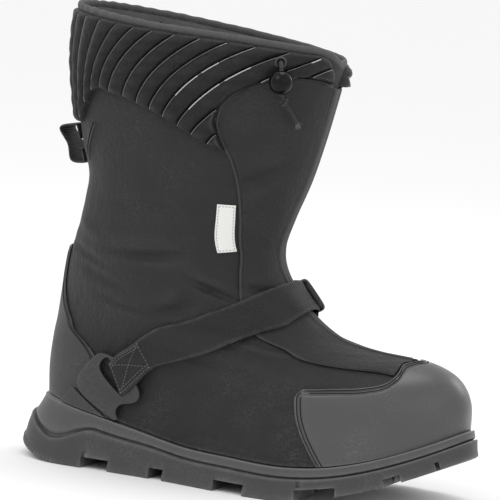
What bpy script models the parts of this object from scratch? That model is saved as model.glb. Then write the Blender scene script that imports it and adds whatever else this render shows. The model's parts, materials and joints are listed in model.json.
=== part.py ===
# Winter overshoe for the right foot: a pull-on boot of nylon over a lugged rubber sole.
# Metres, +Z up, toe along +X, inner side of the foot along +Y.
# The origin is on the floor under the middle of the heel.

import math

import bmesh
import bpy
import numpy as np
from mathutils import Matrix, Vector

# Driving sizes
SOLE_LENGTH = 0.347         # rubber sole, heel to toe, at the floor edge
HEEL_SETBACK = 0.062        # from the origin back to the end of the sole
BALL_WIDTH = 0.134          # widest place of the sole
SHAFT_HEIGHT = 0.330        # floor to the back of the collar
HEEL_STACK = 0.0465         # sole thickness under the heel
FORE_STACK = 0.021          # sole thickness under the toes
TOE_SPRING = 0.038          # lift of the toe's end from the floor
TOE_SWING = 0.012           # sideways bend of the toe towards the inner side
HEEL_BEVEL = 0.012          # lift of the sole's rear edge
BAND_HEIGHT = 0.0072        # midsole band, over the foot's front and middle
HEEL_BAND_HEIGHT = 0.0105   # midsole band at the front of the heel
HEEL_DISH = 0.017           # dip of the band's lower edge at the dished place of the heel
SOLE_INSET = 0.0085         # how far the flared side leans in at the feather edge
UPPER_INSET = 0.002         # ledge of the band around the upper
LUG_DEPTH = 0.008
CHANNEL_WIDTH = 0.007
UPPER_WALL = 0.003
INSOLE_THICKNESS = 0.004
OVERLAY_THICKNESS = 0.0013
PANEL_THICKNESS = 0.0014
CUFF_GROOVE = 0.0012        # padding left in the grooves of the cuff
CUFF_CREST = 0.0048         # padding on the ribs of the cuff
RIM_RADIUS = 0.0026
RIM_RISE = 0.0085           # how much higher the outer flap stands at the collar
STRAP_THICKNESS = 0.0018
ANCHOR_THICKNESS = 0.0028
FOLD_THICKNESS = 0.0026
LABEL_THICKNESS = 0.0005
LOOP_WIDTH = 0.025
LOOP_THICKNESS = 0.0015
BUCKLE_LENGTH = 0.026
BUCKLE_WIDTH = 0.032
BUCKLE_THICKNESS = 0.0052
BALL_DIAMETER = 0.0175
BALL_BORE = 0.0068
CORD_DIAMETER = 0.003
KNOT_DIAMETER = 0.0075
EYELET_RADIUS = 0.0033
EYELET_WIRE = 0.0011
EYELET_SINK = 0.0011        # how far the end of the rib under the eyelet lies below the crests
GAP = 0.0003                # between solids that touch
LAY_GAP = 0.0008            # between a curved piece and the curved piece under it
CUFF_GAP = 0.0023           # under the cuff, whose facets run slanted over the upper's

# Rings of the sole from the floor up, as how far each lies inside the floor edge. The last
# column draws in the very ends of the ring only, so that both rings at the seam match
OUTSOLE_RINGS = [
    # at the heel, at the toe, at the sides, at the tips
    (0.0, 0.0, 0.0, 0.0),
    (0.0015, 0.0, 0.0018, 0.0),
    (0.0055, 0.0015, 0.0045, 0.0),
]
MIDSOLE_RINGS = [
    (0.0055, 0.0015, 0.0060, 0.0015),
    (0.0165, 0.0050, SOLE_INSET, 0.0),
]
TIP_REACH = 0.04            # share of the ring that the last column acts on
MIDDLE_RING = 0.55          # height of the middle ring, as a share of the outsole's

# How finely the forms are cut
AROUND = 48
LEVELS = 16
RIB_STEPS = 3               # across one rib of the cuff
RIB_RISE = [0.0, 0.12, 0.42, 0.80, 1.0]      # rows of points up a rib

# Half-widths of the sole on either side of its middle line, as shares of the ball width,
# at shares of its length from the heel
SOLE_HALVES = [
    # place, outer, inner
    (0.00, 0.350, 0.350),
    (0.14, 0.365, 0.365),
    (0.38, 0.400, 0.330),
    (0.60, 0.500, 0.430),
    (0.74, 0.500, 0.500),
    (0.88, 0.440, 0.500),
    (1.00, 0.360, 0.440),
]
SOLE_ROUND_BACK = 0.15
SOLE_ROUND_FRONT = 0.26
SPRING_START = 0.60
SWING_START = 0.45
BEVEL_END = 0.11
BEVEL_CURVE = 1.5
DISH_PLACE = 0.10            # middle of the dished place on either side of the heel
DISH_REACH = 0.115
BAND_STEP_END = 0.38        # from here on the band has its full height towards the toe
BAND_STEP_LENGTH = 0.16

# Share of the extra heel thickness left along the sole
STACK_FALL = [
    # place, share
    (0.00, 1.00),
    (0.08, 1.00),
    (0.20, 0.72),
    (0.30, 0.46),
    (0.42, 0.18),
    (0.55, 0.13),
    (0.68, 0.06),
    (0.77, 0.02),
    (0.90, 0.00),
    (1.00, 0.00),
]

# Sections of the upper from the feather edge to the collar. Ends of each section as shares
# of the sole's length and of the way from the sole up to the shaft's height, half-widths as
# shares of the ball width,
# rounding of its ends as shares of the section, then how much it keeps of the sole's sag,
# of the sole's outline and of the toe's swing
SECTIONS = [
    # back x, back z, front x, front z, heel, middle, fore, round back, round front, sag, follow, swing
    (-0.125, 0.000, 0.797, 0.000, 0.300, 0.360, 0.420, 0.17, 0.30, 1.00, 1.00, 1.0),
    (-0.128, 0.076, 0.793, 0.062, 0.310, 0.360, 0.420, 0.18, 0.30, 0.80, 0.85, 1.0),
    (-0.124, 0.153, 0.765, 0.116, 0.320, 0.370, 0.370, 0.20, 0.34, 0.50, 0.50, 1.0),
    (-0.121, 0.197, 0.714, 0.148, 0.325, 0.380, 0.310, 0.24, 0.42, 0.28, 0.20, 0.9),
    (-0.118, 0.256, 0.657, 0.154, 0.330, 0.385, 0.280, 0.28, 0.48, 0.12, 0.00, 0.8),
    (-0.114, 0.305, 0.591, 0.162, 0.335, 0.385, 0.280, 0.32, 0.50, 0.05, 0.00, 0.6),
    (-0.107, 0.366, 0.518, 0.182, 0.340, 0.390, 0.310, 0.36, 0.50, 0.00, 0.00, 0.4),
    (-0.097, 0.411, 0.441, 0.244, 0.350, 0.385, 0.345, 0.42, 0.50, 0.00, 0.00, 0.2),
    (-0.085, 0.463, 0.383, 0.336, 0.360, 0.385, 0.360, 0.46, 0.50, 0.00, 0.00, 0.0),
    (-0.075, 0.524, 0.366, 0.409, 0.370, 0.385, 0.375, 0.50, 0.50, 0.00, 0.00, 0.0),
    (-0.071, 0.587, 0.383, 0.491, 0.380, 0.395, 0.385, 0.50, 0.50, 0.00, 0.00, 0.0),
    (-0.090, 0.665, 0.415, 0.599, 0.400, 0.410, 0.400, 0.50, 0.50, 0.00, 0.00, 0.0),
    (-0.1045, 0.760, 0.440, 0.713, 0.420, 0.425, 0.415, 0.50, 0.50, 0.00, 0.00, 0.0),
    (-0.1190, 0.880, 0.461, 0.827, 0.435, 0.440, 0.430, 0.50, 0.50, 0.00, 0.00, 0.0),
    (-0.1180, 1.003, 0.475, 0.911, 0.440, 0.445, 0.435, 0.50, 0.50, 0.00, 0.00, 0.0),
]
WIDTH_PLACES = (0.18, 0.50, 0.80)
ROUNDNESS = 2.15

# Where the collar's edge stands higher, by degrees round the leg, inner side positive
COLLAR_EDGE = [
    # turn, share of the rise
    (-180, 0.00),
    (-168, 0.75),
    (-145, 1.00),
    (-112, 0.88),
    (-80, 0.42),
    (-45, 0.15),
    (0, 0.00),
    (180, 0.00),
]
COLLAR_EDGE_START = 0.86
FOLD_TURN = 3.4             # half of the front fold, in degrees
FOLD_START = 0.27
FOLD_END = 0.950
MIN_STEP = 0.01             # least share between two rows of points
SEAT_MARGIN_TURN = 0.8      # room round the front panels in the cuff, in degrees
SEAT_MARGIN_SHARE = 0.002   # and above them, as a share of the way to the collar

# Edges of the overlays: share of the way from feather edge to collar, and degrees from the
# back of the leg to the edge on either side
CAP_REAR = [
    (0.00, 118.0), (0.20, 115.5), (0.45, 113.0), (0.75, 112.0), (0.92, 113.2), (1.00, 115.5),
]
CAP_TOP = [
    # turn, share
    (112, 0.158), (125, 0.161), (136, 0.161), (143, 0.168), (149, 0.190), (156, 0.226),
    (163, 0.240), (180, 0.243),
]
CAP_CORNERS = [0.092, 0.145, 0.158]      # shares where its edges bend
COUNTER_EDGE = [
    (0.00, 55.0), (0.06, 51.0), (0.13, 46.0), (0.16, 41.0), (0.19, 35.5), (0.23, 31.5),
    (0.27, 24.5), (0.33, 18.0), (0.40, 14.8), (0.46, 15.8),
]
COUNTER_CORNERS = [0.155, 0.215]
PANEL_BACK_EDGE = [
    (0.192, 147.2), (0.207, 142.5), (0.225, 131.5), (0.245, 122.5), (0.30, 117.5), (0.37, 115.0),
    (0.44, 121.0), (0.51, 129.0), (0.56, 136.5), (0.62, 142.0), (0.68, 139.0), (0.74, 133.0),
    (0.78, 127.5), (0.815, 122.0), (0.845, 115.5), (0.875, 111.8), (0.897, 113.2), (0.915, 117.5),
    (0.930, 124.5), (0.942, 134.5), (0.950, 146.0),
]
PANEL_FRONT_EDGE = [
    (0.192, 148.0), (0.207, 151.0), (0.225, 154.5), (0.245, 160.0), (0.258, 172.5), (0.30, 175.4),
    (0.950, 175.4),
]
PANEL_CORNERS = [0.207, 0.225, 0.258, 0.875, 0.915, 0.930, 0.942]      # shares where they bend
STRAP_EDGES = [
    # top share, top turn, bottom share, bottom turn
    (0.130, 53.4, 0.066, 57.9),
    (0.130, 54.8, 0.066, 59.3),
    (0.170, 59.0, 0.096, 63.5),
    (0.245, 68.8, 0.148, 70.3),
    (0.300, 77.5, 0.196, 80.5),
    (0.352, 87.8, 0.242, 91.8),
    (0.395, 96.5, 0.305, 103.5),
    (0.435, 105.2, 0.365, 114.0),
    (0.475, 117.0, 0.415, 126.0),
    (0.508, 129.0, 0.453, 140.0),
    (0.535, 144.0, 0.480, 153.0),
    (0.552, 161.0, 0.495, 166.0),
    (0.557, 171.0, 0.500, 173.0),
    (0.560, 180.0, 0.502, 180.0),
]
STRAP_ON_ANCHOR = 3         # rows of the strap that lie on the anchor
STRAP_ON_FOLD = 11          # row from which it lies on the fold over the front
LABEL_CORNERS = [(0.732, 121.5), (0.736, 131.9), (0.632, 140.0), (0.617, 127.5)]

# Moulded strap anchor: corners of its outline and of its slot
ANCHOR_OUTLINE = [
    (0.004, 54.5), (0.048, 38.0), (0.128, 47.6), (0.146, 51.0), (0.140, 56.5), (0.128, 59.8),
    (0.088, 64.2), (0.070, 64.4), (0.055, 62.8), (0.045, 58.5), (0.036, 56.9), (0.022, 56.0),
    (0.005, 57.2),
]
ANCHOR_SLOT = [
    (0.136, 52.6), (0.120, 50.4), (0.104, 49.8), (0.088, 51.8), (0.066, 56.8), (0.058, 59.75),
    (0.136, 54.25),
]
WEDGE_CORNERS = [(0.002, 31.0), (0.002, 52.5), (0.043, 38.0)]

# Grooves of the quilted cuff: number from the back of the leg, then where each leaves the
# cuff's lower edge and where it meets the rim or the front opening, in degrees and shares
CUFF_GROOVES = [
    # number, low turn, low share, high turn, high share
    (0, 0.0, 0.828, 0.0, 1.000),
    (2, 17.0, 0.829, 19.0, 1.000),
    (4, 33.0, 0.832, 40.2, 1.000),
    (5, 41.0, 0.862, 51.8, 1.000),
    (6, 48.0, 0.885, 62.5, 1.000),
    (7, 54.5, 0.893, 71.8, 1.000),
    (8, 60.5, 0.890, 80.5, 1.000),
    (9, 68.5, 0.887, 90.5, 1.000),
    (10, 75.5, 0.881, 101.5, 1.000),
    (11, 82.0, 0.875, 113.0, 1.000),
    (12, 88.2, 0.867, 125.0, 1.000),
    (13, 95.2, 0.856, 141.0, 1.000),
    (14, 101.8, 0.845, 160.0, 1.000),
    (15, 109.5, 0.833, 170.0, 0.985),
    (16, 119.0, 0.826, 175.0, 0.945),
    (17, 130.0, 0.822, 175.0, 0.895),
    (18, 143.0, 0.820, 175.0, 0.855),
]
GROOVE_BEND = 1.5           # 1 for a straight groove, more for one that starts upright
RIB_FULLNESS = 0.6          # the lower, the fuller the ribs between two grooves
RIB_FADE = 0.45             # the lower, the steeper the ends of the ribs
RIB_END = 0.04              # share of a rib cut off at either end
BACK_PUFF = 0.35            # height of the ribs at the back of the leg, as a share of the others
PUFF_REACH = 8              # number of the groove from which the ribs have their full height

# Slots between the lugs: middle, width at the outer edge, and slant, along the sole
LUG_SLOTS = [
    # place as a share of the sole, width, degrees
    (0.231, 0.0225, -4.0),
    (0.376, 0.0118, -3.0),
    (0.548, 0.0250, 0.0),
    (0.731, 0.0300, 4.0),
    (0.870, 0.0115, 10.0),
    (0.950, 0.0030, 14.0),
]
CHANNEL_PLACES = (-0.15, 0.15)      # shares of the ball width from the middle line
CHANNEL_START = 0.10
CHANNEL_END = 0.93
CHANNEL_DEPTH = 0.8                 # share of the lugs' depth
CHANNEL_STEPS = 12

# Ladder buckle: its place, and its slots as shares of its length and width
BUCKLE_PLACE = (0.530, 151.0)       # share, turn
BUCKLE_STEP = 0.05                  # radians to either side that give the strap's direction
BUCKLE_SLOT_SHIFT = 0.22
BUCKLE_SLOT_LENGTH = 0.16
BUCKLE_SLOT_WIDTH = 0.78

# Pull loop from its upper sewn end round to its lower sewn end
LOOP_TOP = 0.742                    # share of the shaft's height
LOOP_BOTTOM = 0.660
LOOP_PATH = [
    # share of the loop's height, distance from the leg
    (0.63, 0.0),
    (0.93, 0.0005),
    (1.00, 0.0030),
    (0.87, 0.0150),
    (0.45, 0.0105),
    (0.04, 0.0110),
    (0.00, 0.0030),
    (0.07, 0.0005),
    (0.37, 0.0),
]

# Drawcord route: share, turn and height over the upper's surface
CORD_ROUTE = [
    # share, turn, lift
    (0.9770, -136.60, 0.0064),
    (0.9762, -136.60, 0.0112),
    (0.9710, -136.75, 0.0148),
    (0.9640, -136.90, 0.0160),
    (0.9460, -137.60, 0.0162),
    (0.9280, -138.60, 0.0150),
    (0.9244, -139.60, 0.0139),
]
TAIL_ROUTE = [
    # share, turn, lift
    (0.9108, -142.8, 0.0115),
    (0.9020, -145.8, 0.0104),
    (0.8930, -148.5, 0.0097),
    (0.8880, -150.2, 0.0092),
]
BALL_ROW = 4                # row of the drawcord's route in the middle of the ball
KNOT_PLACE = (0.917, -140.9, 0.0122)

PART_NAME = "winter_overshoe"


# Curves and surface of the last

def smooth(places, values, at):
    """Smooth curve through hand-chosen values."""
    places = np.asarray(places, float)
    values = np.asarray(values, float)
    slopes = np.gradient(values, places)
    at = np.clip(at, places[0], places[-1])
    i = np.clip(np.searchsorted(places, at) - 1, 0, len(places) - 2)
    span = places[i + 1] - places[i]
    t = (at - places[i]) / span
    return ((2 * t**3 - 3 * t**2 + 1) * values[i] + (t**3 - 2 * t**2 + t) * span * slopes[i]
            + (3 * t**2 - 2 * t**3) * values[i + 1] + (t**3 - t**2) * span * slopes[i + 1])


def column(table, index):
    return [row[index] for row in table]


def from_table(table, at, index=1):
    return smooth(column(table, 0), column(table, index), at)


def straight(table, at):
    return np.interp(at, column(table, 0), column(table, 1))


def ease(value):
    value = np.clip(value, 0.0, 1.0)
    return value * value * (3 - 2 * value)


def rounding(place, back, front):
    """Share of the full width that is left near the rounded ends."""
    near_back = np.clip(1 - place / back, 0, 1) ** ROUNDNESS
    near_front = np.clip(1 - (1 - place) / front, 0, 1) ** ROUNDNESS
    return ((1 - near_back) * (1 - near_front)) ** (1 / ROUNDNESS)


def swing(place):
    return TOE_SWING * np.clip((place - SWING_START) / (1 - SWING_START), 0, 1) ** 2


def spring(place):
    return TOE_SPRING * np.clip((place - SPRING_START) / (1 - SPRING_START), 0, 1) ** 2


def feather_height(place):
    extra = (HEEL_STACK - FORE_STACK) * from_table(STACK_FALL, place)
    return FORE_STACK + extra + spring(place)


def seam_height(place):
    """Lower edge of the midsole band, with the dish on either side of the heel."""
    step = ease((BAND_STEP_END - place) / BAND_STEP_LENGTH)
    band = BAND_HEIGHT + (HEEL_BAND_HEIGHT - BAND_HEIGHT) * step
    dish = HEEL_DISH * ease(1 - abs(place - DISH_PLACE) / DISH_REACH)
    return feather_height(place) - band - dish


def floor_height(place):
    return spring(place) + HEEL_BEVEL * np.clip(1 - place / BEVEL_END, 0, 1) ** BEVEL_CURVE


def sole_half(place, side, inset):
    halves = np.where(side < 0, from_table(SOLE_HALVES, place, 1), from_table(SOLE_HALVES, place, 2))
    ends = rounding(place, SOLE_ROUND_BACK, SOLE_ROUND_FRONT)
    return side * ends * (halves * BALL_WIDTH - inset) + swing(place)


def place_of(turn):
    """Share of the way from the heel end to the toe end of a section."""
    return (1 - np.cos(turn)) / 2


def side_of(turn):
    return np.where(np.sin(turn) < 0, -1.0, 1.0)


def upper_point(share, turn):
    """Point of the upper's outer face; share 0 is the feather edge, 1 the collar."""
    share, turn = np.broadcast_arrays(np.asarray(share, float), np.asarray(turn, float))
    steps = np.linspace(0, 1, len(SECTIONS))
    (back_x, back_z, front_x, front_z, heel, middle, fore,
     round_back, round_front, sag, follow, swung) = [
        smooth(steps, column(SECTIONS, i), share) for i in range(len(SECTIONS[0]))]
    place, side = place_of(turn), side_of(turn)
    a, b, c = WIDTH_PLACES
    half = BALL_WIDTH * (heel * (place - b) * (place - c) / ((a - b) * (a - c))
                         + middle * (place - a) * (place - c) / ((b - a) * (b - c))
                         + fore * (place - a) * (place - b) / ((c - a) * (c - b)))
    y = side * rounding(place, round_back, round_front) * half + swung * swing(place)
    follow = np.clip(follow, 0, 1)
    y = follow * sole_half(place, side, SOLE_INSET + UPPER_INSET) + (1 - follow) * y
    x = SOLE_LENGTH * (back_x + place * (front_x - back_x))
    toe_level = FORE_STACK + TOE_SPRING
    back = HEEL_STACK + back_z * (SHAFT_HEIGHT - HEEL_STACK)
    front = toe_level + front_z * (SHAFT_HEIGHT - toe_level)
    level = HEEL_STACK + place * (toe_level - HEEL_STACK)
    z = back + place * (front - back) + sag * (feather_height(place) - level)
    degrees = np.degrees(np.arctan2(np.sin(turn), np.cos(turn)))
    edge = ease((share - COLLAR_EDGE_START) / (1 - COLLAR_EDGE_START))
    z = z + RIM_RISE * edge * from_table(COLLAR_EDGE, degrees)
    return np.stack([x, y, z], -1)


def surface(share, turn, lift=0.0):
    """Point at a height over the upper's outer face."""
    step = 0.002
    share, turn = np.broadcast_arrays(np.asarray(share, float), np.asarray(turn, float))
    low, high = np.clip(share - step, 0, 1), np.clip(share + step, 0, 1)
    along = upper_point(high, turn) - upper_point(low, turn)
    across = upper_point(share, turn + step) - upper_point(share, turn - step)
    normal = np.cross(across, along)
    normal /= np.linalg.norm(normal, axis=-1, keepdims=True)
    lift = np.asarray(lift, float)[..., None]
    return upper_point(share, turn) - normal * lift


def on_upper(share, turn, lift=0.0):
    """Point at a height over the upper's facets, which the pieces sewn on it follow."""
    share, turn = np.broadcast_arrays(np.asarray(share, float), np.asarray(turn, float))
    step = 2 * math.pi / AROUND
    row = np.clip(np.floor(share * LEVELS), 0, LEVELS - 1)
    spot = np.floor(turn / step)
    up, across = (share * LEVELS - row)[..., None], (turn / step - spot)[..., None]
    low, high = [(1 - across) * surface(level / LEVELS, spot * step)
                 + across * surface(level / LEVELS, (spot + 1) * step) for level in (row, row + 1)]
    return (1 - up) * low + up * high + surface(share, turn, lift) - surface(share, turn)


# Blender helpers

def clear_scene():
    for item in list(bpy.data.objects):
        bpy.data.objects.remove(item, do_unlink=True)


def make_collection(name):
    collection = bpy.data.collections.new(name)
    bpy.context.scene.collection.children.link(collection)
    return collection


def make_material(name, color, roughness, metallic=0.0):
    material = bpy.data.materials.new(name)
    material.use_nodes = True
    shader = material.node_tree.nodes["Principled BSDF"]
    shader.inputs["Base Color"].default_value = (*color, 1.0)
    shader.inputs["Roughness"].default_value = roughness
    shader.inputs["Metallic"].default_value = metallic
    return material


def add_object(name, mesh, collection, material, sharp=35):
    item = bpy.data.objects.new(name, mesh)
    collection.objects.link(item)
    if material:
        mesh.materials.append(material)
    mesh.shade_smooth()
    mesh.set_sharp_from_angle(angle=math.radians(sharp))
    return item


def point_outwards(work):
    bmesh.ops.recalc_face_normals(work, faces=work.faces)
    if work.calc_volume(signed=True) < 0:
        bmesh.ops.reverse_faces(work, faces=work.faces)


def tidy_normals(mesh):
    work = bmesh.new()
    work.from_mesh(mesh)
    bmesh.ops.remove_doubles(work, verts=work.verts, dist=1e-6)
    point_outwards(work)
    work.to_mesh(mesh)
    work.free()


def grid_faces(rows, columns, wrap, start=0):
    """Triangles over a grid, all split the same way so that stacked grids stay parallel."""
    faces = []
    for i in range(rows - 1):
        for j in range(columns if wrap else columns - 1):
            k = (j + 1) % columns
            low, high = start + i * columns, start + (i + 1) * columns
            faces.append((low + j, low + k, high + k))
            faces.append((low + j, high + k, high + j))
    return faces


def solid_between(name, outer, inner, wrap=False):
    """Closed solid between two grids of points of the same size."""
    rows, columns = outer.shape[:2]
    count = rows * columns
    faces = grid_faces(rows, columns, wrap)
    faces += [tuple(reversed(f)) for f in grid_faces(rows, columns, wrap, count)]
    border = []
    for i in (0, rows - 1):
        for j in range(columns if wrap else columns - 1):
            border.append((i * columns + j, i * columns + (j + 1) % columns))
    if not wrap:
        for j in (0, columns - 1):
            for i in range(rows - 1):
                border.append((i * columns + j, (i + 1) * columns + j))
    faces += [(a, b, b + count, a + count) for a, b in border]
    mesh = bpy.data.meshes.new(name)
    points = np.concatenate([outer.reshape(-1, 3), inner.reshape(-1, 3)])
    mesh.from_pydata(points.tolist(), [], faces)
    tidy_normals(mesh)
    return mesh


def ring_solid(name, rings):
    """Closed solid through rings round the sole, with flat strips across both ends."""
    rings = np.asarray(rings)
    rows, columns = rings.shape[:2]
    faces = grid_faces(rows, columns, True)
    half = columns // 2
    for start in (0, (rows - 1) * columns):
        for j in range(half):
            strip = [start + j, start + j + 1, start + (columns - j - 1), start + (columns - j) % columns]
            faces.append(tuple(dict.fromkeys(strip)))
    mesh = bpy.data.meshes.new(name)
    mesh.from_pydata(rings.reshape(-1, 3).tolist(), [], faces)
    tidy_normals(mesh)
    return mesh


def guide(item):
    item.hide_render = True
    item.display_type = "WIRE"
    return item


def cut(item, cutter, operation="DIFFERENCE"):
    step = item.modifiers.new("cut", "BOOLEAN")
    step.operation = operation
    step.solver = "EXACT"
    step.object = guide(cutter)


def take_new(name, collection):
    """The object that was just added, named and moved to its collection."""
    item = bpy.context.object
    item.name = name
    for owner in list(item.users_collection):
        owner.objects.unlink(item)
    collection.objects.link(item)
    return item


def box(name, collection, size, centre, turn=0.0, tilt=0.0):
    bpy.ops.mesh.primitive_cube_add(size=1)
    item = take_new(name, collection)
    item.scale = size
    item.location = centre
    item.rotation_euler = (0, tilt, turn)
    return item


def tube(name, points, radius, collection, material, cyclic=False):
    curve = bpy.data.curves.new(name, "CURVE")
    curve.dimensions = "3D"
    curve.bevel_depth = radius
    curve.bevel_resolution = 2
    curve.use_fill_caps = True
    line = curve.splines.new("POLY")
    line.points.add(len(points) - 1)
    for knot, point in zip(line.points, points):
        knot.co = (*point, 1.0)
    line.use_cyclic_u = cyclic
    item = bpy.data.objects.new(name, curve)
    collection.objects.link(item)
    curve.materials.append(material)
    return item


# Sole

def sole_turns():
    return np.linspace(0, 2 * math.pi, AROUND, endpoint=False)


def sole_ring(back, front, inset, tip, height):
    turns = sole_turns()
    place = place_of(turns)
    x = back + place * (SOLE_LENGTH - back - front)
    x += tip * (np.clip(1 - place / TIP_REACH, 0, 1) - np.clip(1 - (1 - place) / TIP_REACH, 0, 1))
    y = sole_half(place, side_of(turns), inset)
    return np.stack([x - HEEL_SETBACK, y, height(x / SOLE_LENGTH)], -1)


def middle_height(place):
    return floor_height(place) + MIDDLE_RING * (seam_height(place) - floor_height(place))


def under_seam(place):
    return seam_height(place) - GAP


def lug_slot(number, place, width, slant, cutters):
    """Block that cuts one slot across the sole, tilted with the toe spring."""
    reach = width / SOLE_LENGTH / 2
    slope = math.atan2(spring(place + reach) - spring(place - reach), width)
    centre = (place * SOLE_LENGTH - HEEL_SETBACK, 0, spring(place))
    size = (width, 2 * BALL_WIDTH, 2 * LUG_DEPTH)
    return box(f"slot_{number}", cutters, size, centre, math.radians(slant), -slope)


def channel(number, across, cutters):
    """Bar that cuts one channel along the sole."""
    places = np.linspace(CHANNEL_START, CHANNEL_END, CHANNEL_STEPS)
    x = places * SOLE_LENGTH - HEEL_SETBACK
    y = across * BALL_WIDTH + swing(places)
    corners = []
    for offset, level in ((-0.5, -1), (0.5, -1), (0.5, CHANNEL_DEPTH), (-0.5, CHANNEL_DEPTH)):
        z = spring(places) + level * LUG_DEPTH
        corners.append(np.stack([x, y + offset * CHANNEL_WIDTH, z], -1))
    bars = np.stack(corners, 1)
    last = (len(places) - 1) * 4
    ends = [(0, 1, 2, 3), (last + 3, last + 2, last + 1, last)]
    mesh = bpy.data.meshes.new(f"channel_{number}")
    mesh.from_pydata(bars.reshape(-1, 3).tolist(), [], grid_faces(len(places), 4, True) + ends)
    tidy_normals(mesh)
    return add_object(mesh.name, mesh, cutters, None)


def outsole(parts, cutters, material):
    heights = (floor_height, middle_height, under_seam)
    rings = [sole_ring(*row, height) for row, height in zip(OUTSOLE_RINGS, heights)]
    item = add_object("outsole", ring_solid("outsole", rings), parts, material)
    for number, (place, width, slant) in enumerate(LUG_SLOTS):
        cut(item, lug_slot(number + 1, place, width, slant, cutters))
    for number, across in enumerate(CHANNEL_PLACES):
        cut(item, channel(number + 1, across, cutters))
    return item


def midsole(parts, material):
    heights = (seam_height, feather_height)
    rings = [sole_ring(*row, height) for row, height in zip(MIDSOLE_RINGS, heights)]
    return add_object("midsole", ring_solid("midsole", rings), parts, material)


def insole(parts, material):
    turns = sole_turns()
    place = place_of(turns)
    room = UPPER_WALL + 2 * LAY_GAP
    heel, toe = SECTIONS[0][0] * SOLE_LENGTH + room, SECTIONS[0][2] * SOLE_LENGTH - room
    x = heel + place * (toe - heel)
    y = sole_half(place, side_of(turns), SOLE_INSET + UPPER_INSET + room)
    rings = [np.stack([x, y, feather_height(place) + GAP + rise], -1)
             for rise in (0.0, INSOLE_THICKNESS)]
    return add_object("insole", ring_solid("insole", rings), parts, material)


# Upper and what is sewn on it

def upper_levels():
    return np.linspace(0, 1, LEVELS + 1)


def level_rows(low, high, corners=()):
    """The upper's own levels between two shares, those two, and any corners of an edge."""
    inside = [s for s in upper_levels() if low + MIN_STEP < s < high - MIN_STEP]
    return np.array(sorted({low, high, *inside, *corners}))


def ridges(low, high):
    """Turns of the upper's own upright edges between two turns, and those two."""
    step = 360 / AROUND
    inside = np.arange(math.ceil((low + 1) / step), math.floor((high - 1) / step) + 1) * step
    return np.concatenate([[low], inside, [high]])


def upper(parts, material):
    turns = np.linspace(-math.pi, math.pi, AROUND, endpoint=False)
    share, turn = np.meshgrid(upper_levels(), turns, indexing="ij")
    outer, inner = surface(share, turn), surface(share, turn, -UPPER_WALL)
    for layer in (outer, inner):
        layer[0, :, 2] = feather_height((layer[0, :, 0] + HEEL_SETBACK) / SOLE_LENGTH) + LAY_GAP
    mesh = solid_between("upper", outer, inner, wrap=True)
    return add_object("upper", mesh, parts, material)


def cover(name, share, turn, lift, thickness, parts, material):
    """Overlay that follows the upper, from grids of shares and turns in degrees."""
    if turn[0, 0] > turn[0, -1]:
        share, turn = share[:, ::-1], turn[:, ::-1]
    turn = np.radians(turn)
    outer = on_upper(share, turn, lift + thickness)
    inner = on_upper(share, turn, lift)
    for layer in (outer, inner):
        layer[..., 2] += np.where(share <= 0, 2 * LAY_GAP, 0.0)
    return add_object(name, solid_between(name, outer, inner), parts, material)


def toe_cap(parts, material):
    low, high = CAP_TOP[0][1], CAP_TOP[-1][1]
    reach = 180 - min(column(CAP_REAR, 1))
    rows = level_rows(0.0, high, CAP_CORNERS)
    row, offset = np.meshgrid(rows, ridges(180 - reach, 180 + reach) - 180, indexing="ij")
    limit = 180 - from_table(CAP_REAR, row / low)
    offset = np.clip(offset, -limit, limit)
    share = np.minimum(row, from_table(CAP_TOP, 180 - abs(offset)))
    return cover("toe_cap", share, 180 + offset, LAY_GAP, OVERLAY_THICKNESS, parts, material)


def heel_counter(parts, material):
    reach = max(column(COUNTER_EDGE, 1))
    s, turn = np.meshgrid(level_rows(0.0, COUNTER_EDGE[-1][0], COUNTER_CORNERS), ridges(-reach, reach), indexing="ij")
    limit = from_table(COUNTER_EDGE, s)
    turn = np.clip(turn, -limit, limit)
    return cover("heel_counter", s, turn, LAY_GAP, OVERLAY_THICKNESS, parts, material)


def heel_wedge(name, side, parts, material):
    (_, back), (_, front), (height, peak) = WEDGE_CORNERS
    t, v = np.meshgrid(np.linspace(0, 0.94, 5), np.linspace(0, 1, 5), indexing="ij")
    turn = (1 - t) * (back + (front - back) * v) + t * peak
    lift = 2 * LAY_GAP + OVERLAY_THICKNESS
    return cover(name, t * height, side * turn, lift, OVERLAY_THICKNESS, parts, material)


def panel_levels():
    return level_rows(PANEL_BACK_EDGE[0][0], PANEL_BACK_EDGE[-1][0], PANEL_CORNERS)


def front_panel(name, side, parts, material):
    reach = ridges(min(column(PANEL_BACK_EDGE, 1)), max(column(PANEL_FRONT_EDGE, 1)))
    s, turn = np.meshgrid(panel_levels(), reach, indexing="ij")
    turn = np.clip(turn, straight(PANEL_BACK_EDGE, s), straight(PANEL_FRONT_EDGE, s))
    return cover(name, s, side * turn, LAY_GAP, PANEL_THICKNESS, parts, material)


def panel_seat(cutters):
    """Room that the front panels and the fold between them take out of the cuff."""
    levels = panel_levels()
    share = levels[levels > 0.74]
    s, v = np.meshgrid(share, np.linspace(-1, 1, 9), indexing="ij")
    reach = 180 - straight(PANEL_BACK_EDGE, s) + SEAT_MARGIN_TURN
    turn = np.radians(180 + reach * v)
    s = np.where(s == share[-1], s + SEAT_MARGIN_SHARE, s)
    depth = 4 * CUFF_CREST
    mesh = solid_between("panel_seat", surface(s, turn, depth), surface(s, turn, -depth / 8))
    return add_object("panel_seat", mesh, cutters, None)


def closure_fold(parts, material):
    s, v = np.meshgrid(level_rows(FOLD_START, FOLD_END), np.linspace(-1, 1, 5), indexing="ij")
    turn = 180 + FOLD_TURN * v
    return cover("closure_fold", s, turn, LAY_GAP, FOLD_THICKNESS, parts, material)


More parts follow.
